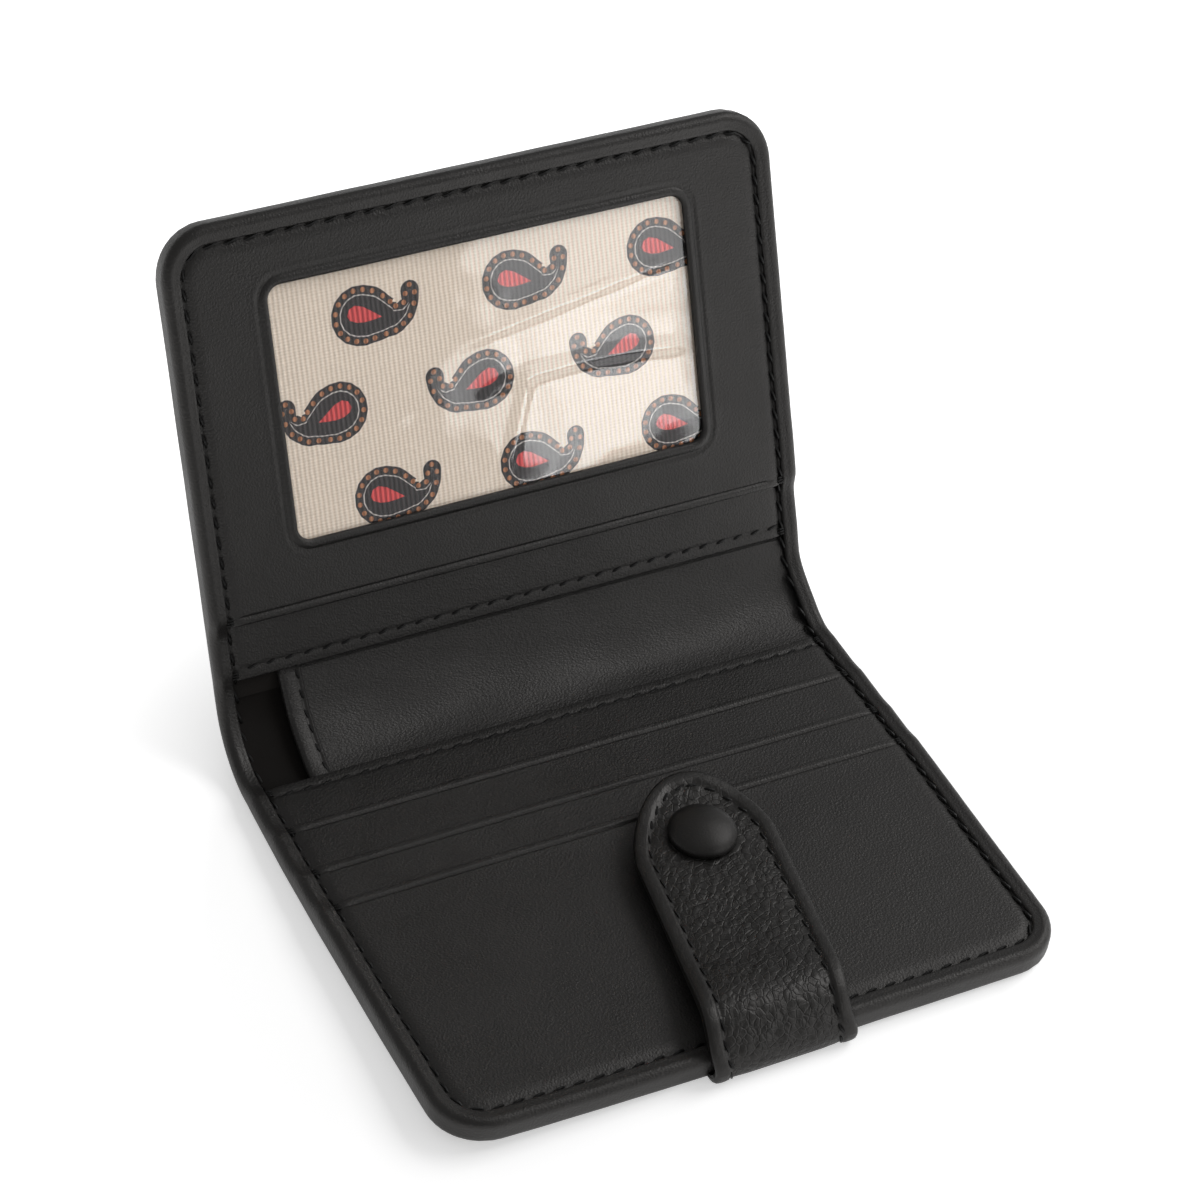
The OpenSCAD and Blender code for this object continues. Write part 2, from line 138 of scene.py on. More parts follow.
# places worked out from the frame and the sizes
HALF = WIDTH / 2
FRONT = -PANEL
BACK = SPINE + PANEL
MIDDLE = SPINE / 2
RADIUS = SPINE / OPEN
HINGES = {j["name"]: Vector(j["pos_m"]) / MM for j in frame["joints"]}
FOLD_1 = HINGES["spine_fold_lower"]
FOLD_2 = HINGES["spine_fold_upper"]
TAB_BENDS = [HINGES[name] for name in ("tab_bend_root", "tab_bend_low", "tab_bend_high")]
EDGE_Y = FOLD_1.y - PANEL
SNAP_Y = EDGE_Y + SNAP_FROM_EDGE
SNAP_X = TAB_X + TAB_LEAN


def smooth(low, high, value):
    """0 below low, 1 above high, and a soft step between."""
    t = min(1.0, max(0.0, (value - low) / (high - low)))
    return t * t * (3 - 2 * t)


def bell(value, middle, width):
    """A soft bump of height 1."""
    return math.exp(-(((value - middle) / width) ** 2))


def ripple(x, s, size, seed):
    """Gentle unevenness between -1 and 1, with bumps of about the given size."""
    return noise.noise(Vector((x / size, s / size, seed)))


def edge_distance(x, s):
    """Distance from the wallet's outline, on the flat leather."""
    dx = HALF - abs(x)
    ds = min(s - FRONT, BACK - s)
    if dx < CORNER and ds < CORNER:
        return CORNER - math.hypot(CORNER - dx, CORNER - ds)
    return min(dx, ds)


def relax(x, s):
    """Small lift of the lower panel's front corners, as worn leather curls."""
    forward = max(0.0, (-s - 30.0) / (PANEL - 30.0))
    left = 1.5 * max(0.0, -(x - 5.0) / HALF) ** 2
    right = 0.5 * max(0.0, (x - 25.0) / HALF) ** 2
    return (left + right) * forward * forward


def draw_in(x, s):
    """Sideways pull of the spine's and the upper panel's turned edges, which draw the leather together."""
    amount = 0.95 if x < 0 else 0.45
    return math.copysign(amount, -x) * (x / HALF) ** 4 * smooth(-22, SPINE, s)


def fold(x, s, w):
    """Place of a point of the flat leather: x along the spine, s across both panels, w inwards."""
    x += draw_in(x, s)
    if s <= 0:
        y, z = FOLD_1.y + s, w + relax(x, s)
    elif s < SPINE:
        angle = s / RADIUS
        r = RADIUS + HINGE_W - w
        y = FOLD_1.y + r * math.sin(angle)
        z = HINGE_W + RADIUS - r * math.cos(angle)
    else:
        v = s - SPINE
        h = w - HINGE_W
        y = FOLD_2.y + v * math.cos(OPEN) - h * math.sin(OPEN)
        z = FOLD_2.z + v * math.sin(OPEN) + h * math.cos(OPEN)
    return Vector((x, y, z))


def add_object(name, data):
    """New object in the scene."""
    made = bpy.data.objects.new(name, data)
    bpy.context.scene.collection.objects.link(made)
    return made


class Shape:
    """A mesh in the making: its points in millimetres, their places on the flat leather, and its faces."""

    def __init__(self):
        self.points = []
        self.flat = []
        self.faces = []
        self.finish = []

    def add(self, point, flat):
        self.points.append(point * MM)
        self.flat.append(flat)
        return len(self.points) - 1

    def face(self, corners, finish=0):
        self.faces.append(corners)
        self.finish.append(finish)

    def strip(self, a, b, finish=0):
        for i in range(len(a) - 1):
            self.face((a[i], a[i + 1], b[i + 1], b[i]), finish)

    def skin(self, rows, finish=0):
        for a, b in zip(rows, rows[1:]):
            self.strip(a, b, finish)

    def sheet(self, top, low):
        self.skin(top)
        self.skin(low)
        for end in (0, -1):
            self.strip(top[end], low[end])
        for side in (0, -1):
            self.strip([row[side] for row in top], [row[side] for row in low])

    def build(self, name, *materials, sharp=40):
        mesh = bpy.data.meshes.new(name)
        mesh.from_pydata(self.points, [], self.faces)
        layer = mesh.uv_layers.new(name="flat")
        for loop in mesh.loops:
            u, v = self.flat[loop.vertex_index]
            layer.data[loop.index].uv = (u / 100, v / 100)
        for material in materials:
            mesh.materials.append(material)
        mesh.polygons.foreach_set("material_index", self.finish)
        tidy = bmesh.new()
        tidy.from_mesh(mesh)
        bmesh.ops.recalc_face_normals(tidy, faces=tidy.faces)
        tidy.to_mesh(mesh)
        tidy.free()
        mesh.polygons.foreach_set("use_smooth", [True] * len(mesh.polygons))
        mesh.set_sharp_from_angle(angle=math.radians(sharp))
        return add_object(name, mesh)


def lines(start, stop, step, exact=(), fine=()):
    """Places from start to stop about a step apart, exact ones among them, closer round each fine one."""
    kept = sorted({start, stop, *[e for e in exact if start < e < stop]})
    count = max(1, round((stop - start) / step))
    loose = [start + (stop - start) * i / count for i in range(count + 1)]
    for middle, reach in fine:
        loose += [middle + reach * k / 4 for k in range(-4, 5)]
    for value in sorted(loose):
        if start < value < stop and min(abs(value - k) for k in kept) > 0.11:
            kept.append(value)
    return sorted(kept)


# distances from the outline at which the pockets' grids have lines
SEAM_LINES = [1.1, 1.6, 2.2, 2.7, 3.0, 3.2, 3.4, 3.6, 3.9, 4.3, 4.9, 5.7, 6.7, 8.0]


def across(inset, step=2.0, exact=()):
    """Lines along the spine, close together beside both seams."""
    outer = [HALF - d for d in SEAM_LINES if d > inset] + [HALF - inset]
    inner = lines(-HALF + CORNER, HALF - CORNER, step, exact)
    return sorted({*inner, *outer, *[-x for x in outer]})


def rounded(x, s):
    """Moves a place of the square-cornered sheet so that the wallet's four corners come out round."""
    dx = abs(x) - (HALF - CORNER)
    near_front = s < MIDDLE
    ds = FRONT + CORNER - s if near_front else s - BACK + CORNER
    if dx <= 0 or ds <= 0:
        return x, s
    k = max(dx, ds) / math.hypot(dx, ds)
    s = FRONT + CORNER - ds * k if near_front else BACK - CORNER + ds * k
    return math.copysign(HALF - CORNER + dx * k, x), s


def slab(shape, us, vs, settle, place, top, bottom, keep=None, finish=0):
    """Closed sheet over a grid: settle moves a grid place, top and bottom give its heights there."""
    cells = [
        (i, j)
        for i in range(len(us) - 1)
        for j in range(len(vs) - 1)
        if keep is None or keep((us[i] + us[i + 1]) / 2, (vs[j] + vs[j + 1]) / 2)
    ]
    upper, lower, edges = {}, {}, {}
    for i, j in cells:
        for key in ((i, j), (i + 1, j), (i + 1, j + 1), (i, j + 1)):
            if key in upper:
                continue
            u, v = settle(us[key[0]], vs[key[1]])
            upper[key] = shape.add(place(u, v, top(u, v)), (u, v))
            lower[key] = shape.add(place(u, v, bottom(u, v)), (u, v))
    for i, j in cells:
        ring = ((i, j), (i + 1, j), (i + 1, j + 1), (i, j + 1))
        shape.face([upper[k] for k in ring], finish)
        shape.face([lower[k] for k in reversed(ring)], finish)
        for k in range(4):
            a, b = ring[k], ring[(k + 1) % 4]
            if (b, a) in edges:
                del edges[(b, a)]
            else:
                edges[(a, b)] = True
    for a, b in edges:
        shape.face((upper[a], lower[a], lower[b], upper[b]), finish)


def puff(x, s):
    """How far the inner leather stands over its flat height: nothing at the seam, full inside the panel."""
    d = edge_distance(x, s)
    wave = 0.10 * ripple(x, s, 16, 3) + 0.04 * ripple(x, s, 6, 9)
    snap = bell(math.hypot(x - SNAP_X, s + PANEL - SNAP_FROM_EDGE), 0, 9)
    full = PUFF * smooth(SEAM, SEAM + PUFF_REACH, d) + wave * smooth(4.5, 12, d)
    return full * (1 - 0.9 * snap) - 0.24 * bell(d, SEAM + 0.1, 0.4)


def step_between(value, places, heights, soft=2.2):
    """Height that steps from one value to the next at each place."""
    height = heights[0]
    for place, low, high in zip(places, heights, heights[1:]):
        height += (high - low) * smooth(place - soft, place + soft, value)
    return height


def band_top(x, s):
    """Height of the turned edge, which steps with the layers that it closes."""
    if s <= 0:
        places = [LOWER_MOUTH, SLOT_1_MOUTH, SLOT_2_MOUTH, SLOT_3_MOUTH]
        heights = [SPINE_EDGE, SLIP_TOP, SLOT_1_TOP, SLOT_2_TOP, SLOT_3_TOP]
        v = -s
    else:
        places = [UPPER_MOUTH, ID_MOUTH]
        heights = [SPINE_EDGE, SLIP_TOP, ID_TOP]
        v = s - SPINE
    if x > 0:
        heights[0] = SLIP_TOP
    height = step_between(v, places, heights) + BAND_OVER
    for place in places:
        height += 0.06 * bell(v, place + 1.4, 0.7)
    if 0 < s < SPINE and x > 0:
        height += 1.35 * math.sin(math.pi * s / SPINE)
    return height + 0.07 * ripple(x, s, 7, 5) + 0.05 * ripple(x, s, 2.6, 6)


def tab_recess(x, s):
    """Height of the cover's outside: raised where the tab's root is sewn under it."""
    inside = abs(x - TAB_X) < TAB_WIDTH / 2 + 0.21 and s < FRONT + TAB_ROOT + 0.2
    return 0.85 if inside else 0.0


def band_profile(top, low):
    """Section of the turned edge: distance from the outline, height, and length along the leather."""
    high = top - low
    foot = min(EDGE_FOOT, 0.48 * high)
    crest = min(EDGE_CREST, high - foot)
    section = []
    for k in range(6):
        a = math.radians(18 * k)
        section.append((EDGE_FOOT - EDGE_FOOT * math.sin(a), low + foot - foot * math.cos(a)))
    for k in range(8):
        a = math.radians(90 * k / 7)
        section.append((EDGE_CREST - EDGE_CREST * math.cos(a), top - crest + crest * math.sin(a)))
    shoulder = ((1.75, 0.05), (2.1, 0.13), (2.5, 0.16), (2.85, 0.20))
    lip = ((3.05, 0.27), (3.2, 0.42), (3.3, 0.66), (3.26, 0.85))
    section += [(d, top - drop) for d, drop in shoulder + lip]
    section.append((EDGE_FOOT, top - lip[-1][1]))
    lengths = [0.0]
    for (d0, w0), (d1, w1) in zip(section, section[1:]):
        lengths.append(lengths[-1] + math.hypot(d1 - d0, w1 - w0))
    return [(d, w, u) for (d, w), u in zip(section, lengths)]


def outline_normal(x, s):
    """Direction out of the wallet at a place on its rounded outline or beside it."""
    dx = abs(x) - (HALF - CORNER)
    ds = FRONT + CORNER - s if s < MIDDLE else s - BACK + CORNER
    side = math.copysign(1, x)
    end = -1 if s < MIDDLE else 1
    if dx > -1e-6 and ds > -1e-6:
        r = math.hypot(dx, ds)
        return side * dx / r, end * ds / r
    return (side, 0.0) if dx > ds else (0.0, end)


def half_cover(name, front, leather, edge_leather):
    """Outer leather of one half of the wallet, with its turned edge, as one closed skin."""
    shape = Shape()
    steps = [-LOWER_MOUTH, -SLOT_1_MOUTH, -SLOT_2_MOUTH, -SLOT_3_MOUTH, SPINE + UPPER_MOUTH, SPINE + ID_MOUTH]
    recess = FRONT + TAB_ROOT + 0.2
    ends = [FRONT + CORNER, BACK - CORNER, recess - 0.05, recess + 0.05]
    low_s, high_s = (FRONT + EDGE_FOOT, MIDDLE) if front else (MIDDLE, BACK - EDGE_FOOT)
    ss = lines(low_s, high_s, 1.3, ends, [(p, 1.2) for p in steps])
    edge = TAB_WIDTH / 2 + 0.2
    marks = [TAB_X + k for k in (-edge - 0.12, -edge, edge, edge + 0.12)]
    xs = lines(-HALF + EDGE_FOOT, HALF - EDGE_FOOT, 2.0, [CORNER - HALF, HALF - CORNER, *marks])

    def face_rows(height):
        rows = []
        for s in ss:
            places = [rounded(x, s) for x in xs]
            rows.append([shape.add(fold(px, ps, height(px, ps)), (px, ps)) for px, ps in places])
        return rows

    outer = face_rows(tab_recess)
    under = face_rows(lambda x, s: COVER)
    shape.skin(outer)
    shape.skin(under)

    last_s, last_x = len(ss) - 1, len(xs) - 1
    rows = range(last_s, -1, -1) if front else range(last_s + 1)
    cut = rows[0]
    rim = [(i, 0) for i in rows] + [(rows[-1], j) for j in range(1, last_x)]
    rim += [(i, last_x) for i in reversed(rows)]
    rings = []
    for i, j in rim:
        x, s = rounded(xs[j], ss[i])
        nx, ns = outline_normal(x, s)
        edge_x, edge_s = x + nx * EDGE_FOOT, s + ns * EDGE_FOOT
        wobble = 0.06 * ripple(edge_x, edge_s, 9, 12)
        column = [outer[i][j]]
        for d, w, u in band_profile(band_top(edge_x - nx * 2, edge_s - ns * 2), tab_recess(x, s))[1:]:
            flat = (edge_x + nx * (u - EDGE_FOOT), edge_s + ns * (u - EDGE_FOOT))
            d += wobble
            column.append(shape.add(fold(edge_x - nx * d, edge_s - ns * d, w), flat))
        column.append(under[i][j])
        rings.append(column)
    shape.skin(rings, 1)
    shape.face(outer[cut] + rings[-1][1:-1] + under[cut][::-1] + rings[0][1:-1][::-1])
    return shape.build(name, leather, edge_leather, sharp=60)


def pocket_height(low, high, mouth, end, crease=None, seam=False, lip=0.0):
    """Top and bottom heights of a pocket layer whose mouth is rounded, pressed or stitched."""
    half = (high - low) / 2
    middle = (high + low) / 2

    def nose(v):
        q = min(1.0, max(0.0, (v - mouth) / half))
        return max(0.03, math.sqrt(1 - (1 - q) ** 2)) * half

    def surface(x, s):
        v = s - SPINE if end > 0 else -s
        lift = puff(x, s) + lip * bell(v, mouth, 3.0) * (1 - (x / HALF) ** 2)
        return v, lift

    def top(x, s):
        v, lift = surface(x, s)
        h = middle + nose(v) + lift
        if crease is not None:
            line = smooth(4.6, 6.5, edge_distance(x, s))
            h -= line * (0.24 * bell(v, mouth + crease, 0.22) - 0.10 * bell(v, mouth + crease - 0.6, 0.32))
        if seam:
            h -= 0.13 * bell(v, mouth + MOUTH_SEAM, 0.35)
        return h

    def bottom(x, s):
        v, lift = surface(x, s)
        return middle - nose(v) + lift

    return top, bottom


def pocket(name, node, leather, low, high, mouth, shown, end, crease=None, seam=False, lip=0.0):
    """One pocket layer of a panel, dense where it shows and coarse where the next layer hides it."""
    base, body = (SPINE, "upper") if end > 0 else (0.0, "lower")
    half = (high - low) / 2
    far = PANEL - LAYER_INSET
    near = lines(mouth, min(shown + 2.5, far), 1.2, [mouth + half * k for k in (0.1, 0.35, 0.7, 1.0)])
    if crease is not None:
        near = lines(mouth, near[-1], 1.2, near, [(mouth + crease, 0.6)])
    if seam:
        near = lines(mouth, near[-1], 1.2, near, [(mouth + MOUTH_SEAM, 1.0)])
    rest = [v for v in lines(near[-1], far, 5.0, [PANEL - CORNER]) if v > near[-1]]
    rest += [PANEL - d for d in SEAM_LINES if PANEL - d > near[-1]]
    vs = sorted({*near, *rest, far})
    ss = [base + end * v for v in vs]
    top, bottom = pocket_height(low, high, mouth, end, crease, seam, lip)
    shape = Shape()
    slab(shape, across(LAYER_INSET), ss, rounded, fold, top, bottom)
    finish_piece(shape.build(name, leather), body, "pocket_leather", node)


def finish_piece(piece, body, slot, *nodes):
    """Puts a rigid piece on its body, in place of its nodes; its slot is not used."""
    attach(piece, body)
    if nodes:
        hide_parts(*nodes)


def bend_piece(piece, bend, slot, *nodes):
    """Bakes a soft piece's placement into its mesh, in place of its nodes; its bend, given as (bodies, zone),
    and its slot are not used.
    """
    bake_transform(piece)
    if nodes:
        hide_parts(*nodes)


# the two halves' bends, as (bodies, zone from the first body to the second)
FOLD_REACH = 3.0
UP = Vector((0, math.cos(OPEN), math.sin(OPEN)))
FOLD_1_ZONE = (FOLD_1 - Vector((0, FOLD_REACH, 0)), FOLD_1 + Vector((0, FOLD_REACH, 0)))
FOLD_2_ZONE = (FOLD_2 - FOLD_REACH * UP, FOLD_2 + FOLD_REACH * UP)
FRONT_HALF = ("lower", "spine"), FOLD_1_ZONE
BACK_HALF = ("spine", "upper"), FOLD_2_ZONE

# distances outside the window's edge at which the frame's grid has lines
WINDOW_LINES = [-0.35, 0.9, 1.5, 1.8, 2.1, 2.4, 2.8, 3.3, 4.0]


def window_distance(x, s):
    """Distance outside the window's edge on the upper panel, negative within it."""
    middle = SPINE + (WINDOW_FROM + WINDOW_TO) / 2
    dx = abs(x) - (WINDOW_HALF - WINDOW_CORNER)
    ds = abs(s - middle) - ((WINDOW_TO - WINDOW_FROM) / 2 - WINDOW_CORNER)
    if dx > 0 and ds > 0:
        return math.hypot(dx, ds) - WINDOW_CORNER
    return max(dx, ds) - WINDOW_CORNER


def window_outline(count=8):
    """Places round the window's edge, as (x, s, outward x, outward s)."""
    places = []
    r = WINDOW_CORNER
    low, high = SPINE + WINDOW_FROM + r, SPINE + WINDOW_TO - r
    side = WINDOW_HALF - r
    corners = ((side, low, -90), (side, high, 0), (-side, high, 90), (-side, low, 180))
    for k, (cx, cs, start) in enumerate(corners):
        for i in range(count + 1):
            a = math.radians(start + 90 * i / count)
            nx, ns = math.cos(a), math.sin(a)
            places.append((cx + r * nx, cs + r * ns, nx, ns))
        ex, es = corners[(k + 1) % 4][:2]
        run = round(math.hypot(ex - cx, es - cs) / 3)
        x, s, nx, ns = places[-1]
        for i in range(1, run):
            places.append((x + (ex - cx) * i / run, s + (es - cs) * i / run, nx, ns))
    return places


def id_frame(leather):
    """Leather frame of the identity window, with its turned rim and the line pressed round it."""
    base_top, bottom = pocket_height(ID_LOW, ID_TOP, ID_MOUTH, 1, crease=1.4, lip=0.25)

    def top(x, s):
        d = window_distance(x, s)
        return base_top(x, s) - 0.16 * bell(d, 1.9, 0.28) + 0.07 * bell(d, 2.5, 0.35)

    opening = 0.35
    xs_window = [WINDOW_HALF + d for d in WINDOW_LINES] + [-WINDOW_HALF - d for d in WINDOW_LINES]
    v_lines = [WINDOW_FROM - d for d in WINDOW_LINES] + [WINDOW_TO + d for d in WINDOW_LINES]
    xs_window += [WINDOW_HALF + opening, -WINDOW_HALF - opening]
    v_lines += [WINDOW_FROM - opening, WINDOW_TO + opening]
    half = (ID_TOP - ID_LOW) / 2
    mouth = [ID_MOUTH + half * k for k in (0.1, 0.35, 0.7, 1.0)]
    seam = [PANEL - d for d in SEAM_LINES if d > LAYER_INSET]
    vs = lines(ID_MOUTH, PANEL - LAYER_INSET, 1.6, [*mouth, *v_lines, *seam], [(ID_MOUTH + 1.4, 0.6)])
    ss = [SPINE + v for v in vs]
    shape = Shape()

    def keep(x, s):
        v = s - SPINE
        return abs(x) >= WINDOW_HALF + opening or not WINDOW_FROM - opening < v < WINDOW_TO + opening

    slab(shape, across(LAYER_INSET, 2.0, xs_window), ss, rounded, fold, top, bottom, keep)
    rim = ((0.02, 3.62), (-0.06, 3.95), (0.02, 4.28), (0.22, 4.50), (0.55, 4.62), (0.9, 4.60))
    rim += ((1.25, 4.48), (1.5, 4.32), (1.66, 4.12), (1.0, 4.0), (0.5, 3.66))
    rings = []
    for x, s, nx, ns in window_outline():
        lift = puff(x + nx, s + ns)
        ring = []
        for d, w in rim:
            place = (x + nx * d, s + ns * d)
            ring.append(shape.add(fold(*place, w + lift), place))
        rings.append(ring + ring[:1])
    shape.skin(rings + rings[:1])
    finish_piece(shape.build("id_frame_leather", leather), "upper", "pocket_leather", "id_frame")


def lifted(base):
    """Height of a layer stretched flat over the upper panel's padding."""
    return lambda x, s: base + PUFF * smooth(SEAM, SEAM + PUFF_REACH, edge_distance(x, s))


def window_cloth(material):
    """Printed cloth under the film, over the whole panel up to the seam."""
    shape = Shape()
    half = HALF - LAYER_INSET
    low, high = SPINE + ID_MOUTH + 1.5, BACK - LAYER_INSET
    ss = lines(low, high, 3.0, [BACK - CORNER])
    xs = lines(-half, half, 3.0, [CORNER - HALF, HALF - CORNER])
    slab(shape, xs, ss, rounded, fold, lifted(CLOTH_LOW + 0.25), lifted(CLOTH_LOW))
    piece = shape.build("printed_cloth", material)
    finish_piece(piece, "upper", "printed_cloth", "window_cloth")


def window_film(material):
    """Clear film between the cloth and the frame, slightly wavy as thin film is."""
    shape = Shape()
    grow = 4.0
    xs = lines(-WINDOW_HALF - grow, WINDOW_HALF + grow, 0.6)
    ss = lines(SPINE + WINDOW_FROM - grow, SPINE + WINDOW_TO + grow, 0.6)

    def wave(x, s):
        inside = smooth(0.0, 5.0, -window_distance(x, s))
        v = s - SPINE
        right = smooth(-14, 6, x)
        crease = bell(v - 0.16 * x, 53.0, 1.3) * right
        crease += bell(v + 0.004 * (x - 4) ** 2 - 0.10 * x, 43.5, 1.2) * smooth(-6, 8, x)
        crease += 0.8 * bell(x - 0.35 * (v - 38), 4.5, 1.2) * (1 - smooth(42, 46, v))
        crease += 0.45 * bell(v - 0.45 * x, 49.5, 1.0) * (1 - smooth(-22, -8, x))
        return inside * (0.06 * (0.5 + ripple(x, s, 14, 21)) + 0.17 * crease)

    def top(x, s):
        return FILM_LOW + 0.14 + puff(x, s) + wave(x, s)

    def bottom(x, s):
        return FILM_LOW + puff(x, s) + wave(x, s)

    slab(shape, xs, ss, lambda x, s: (x, s), fold, top, bottom)
    piece = shape.build("clear_window", material)
    piece.visible_shadow = False
    finish_piece(piece, "upper", "clear_film", "window_film")


# middle line of a printed drop and its half width there, from the round end to the curled knob
DROP = (
    ((-3.3, 0.0), 5.1),
    ((-1.3, -0.5), 4.95),
    ((0.8, -1.2), 3.95),
    ((2.7, -1.7), 2.9),
    ((4.6, -1.1), 2.1),
    ((5.9, 0.5), 1.5),
    ((6.0, 2.4), 1.65),
)
DROP_STEPS = 22


def drop_outline(size):
    """Outline of a curled drop, grown by a size."""
    path = []
    for i in range(DROP_STEPS + 1):
        t = i / DROP_STEPS * (len(DROP) - 1)
        k = min(int(t), len(DROP) - 2)
        f = t - k
        ((ax, ay), low), ((bx, by), high) = DROP[k], DROP[k + 1]
        path.append((ax + (bx - ax) * f, ay + (by - ay) * f, max(0.12, low + (high - low) * f + size)))
    left, right = [], []
    for i, (x, y, r) in enumerate(path):
        ahead, behind = path[min(i + 1, DROP_STEPS)], path[max(i - 1, 0)]
        tx, ty = ahead[0] - behind[0], ahead[1] - behind[1]
        length = math.hypot(tx, ty)
        left.append((x - ty / length * r, y + tx / length * r))
        right.append((x + ty / length * r, y - tx / length * r))
    caps = []
    for (x, y, r), (px, py, _) in ((path[-1], path[-3]), (path[0], path[2])):
        heading = math.atan2(y - py, x - px)
        turns = [heading + math.pi / 2 - math.pi * k / 8 for k in range(1, 8)]
        caps.append([(x + r * math.cos(a), y + r * math.sin(a)) for a in turns])
    return left + caps[0] + right[::-1] + caps[1]


def disc(middle, r, count=8):
    """Points of a small round dot."""
    turns = [math.tau * k / count for k in range(count)]
    return [(middle[0] + r * math.cos(a), middle[1] + r * math.sin(a)) for a in turns]


def dots_along(outline, gap):
    """Places on a closed outline with at least a gap between them."""
    places = []
    run, last = 0.0, outline[0]
    for place in outline + outline[:1]:
        run += math.dist(place, last)
        last = place
        if run >= gap:
            run = 0.0
            places.append(place)
    return places


# outline of a drop's heart
HEART = ((-5.5, 0.3), (-5.0, 1.4), (-3.9, 1.8), (-2.5, 1.3), (-1.0, 0.2), (0.6, -1.0))
HEART += ((-0.9, -1.2), (-2.5, -1.3), (-3.9, -1.1), (-5.1, -0.5))

# rows of drops: the way they face, and their middles as (x, distance from the hinge line)
DROP_ROWS = (
    (1, ((-18.8, 61.0), (8.5, 61.2), (35.5, 61.2))),
    (-1, ((-31.0, 45.8), (-4.2, 45.4), (22.4, 45.5))),
    (1, ((-18.6, 29.8), (8.2, 29.6), (35.0, 30.0))),
)


def window_print(materials):
    """Curled drops printed on the cloth: dark drop, rust dots, pale line and red heart as flat inlays."""
    shape = Shape()
    cloth_top = CLOTH_LOW + 0.25 + PUFF
    reach = WINDOW_HALF + 3

    def put(points, middle, facing, height, finish):
        ring = []
        for px, py in points:
            x = min(max(middle[0] + facing * px, -reach), reach)
            s = SPINE + (middle[1] + py)
            ring.append(shape.add(fold(x, s, cloth_top + height), (x, s)))
        shape.face(ring, finish)

    for facing, middles in DROP_ROWS:
        for middle in middles:
            put(drop_outline(0.0), middle, facing, 0.012, 0)
            put(drop_outline(-1.50), middle, facing, 0.018, 1)
            put(drop_outline(-1.72), middle, facing, 0.024, 0)
            for place in dots_along(drop_outline(-0.78), 1.6):
                put(disc(place, 0.46), middle, facing, 0.02, 2)
            put(HEART, middle, facing, 0.03, 3)
    finish_piece(shape.build("cloth_print", *materials), "upper", "printed_cloth")


def cubic(p0, p1, p2, p3, t):
    """Point and slope of a curve with two handles."""
    q = 1 - t
    point = q**3 * p0 + 3 * q * q * t * p1 + 3 * q * t * t * p2 + t**3 * p3
    slope = 3 * q * q * (p1 - p0) + 6 * q * t * (p2 - p1) + 3 * t * t * (p3 - p2)
    return point, slope


def divider_path():
    """Middle line of the divider in (y, z): under the lower pocket, across the spine, under the upper one."""
    start = fold(0, -LOWER_MOUTH, DIVIDER_W)
    stop = fold(0, SPINE + UPPER_MOUTH, DIVIDER_W)
    ahead = start + Vector((0, DIVIDER_BEND, 0))
    behind = stop - UP * DIVIDER_BEND
    path = []
    step = DIVIDER_REACH / DIVIDER_UNDER
    for k in range(DIVIDER_UNDER, 0, -1):
        path.append((fold(0, -LOWER_MOUTH - step * k, DIVIDER_W), Vector((0, 1, 0))))
    path += [cubic(start, ahead, behind, stop, k / DIVIDER_STEPS) for k in range(DIVIDER_STEPS + 1)]
    for k in range(1, DIVIDER_UNDER + 1):
        path.append((fold(0, SPINE + UPPER_MOUTH + step * k, DIVIDER_W), UP))
    return path


def divider_wave(x, t):
    """Slack of the thin leather between the pockets, which bulges a little near its free edge."""
    free = math.exp(-(x - DIVIDER_LEFT) / 26)
    across_it = math.sin(math.pi * t)
    return across_it * (1.3 * free + 0.5 * ripple(x, 40 * t, 17, 31)) + 0.08 * ripple(x, 30 * t, 4, 33)


def divider_step(path, k):
    """One step of the divider, as (point, normal, share of the way from mouth to mouth)."""
    point, slope = path[k]
    normal = Vector((0, -slope.z, slope.y)).normalized()
    return point, normal, min(1.0, max(0.0, (k - DIVIDER_UNDER) / DIVIDER_STEPS))


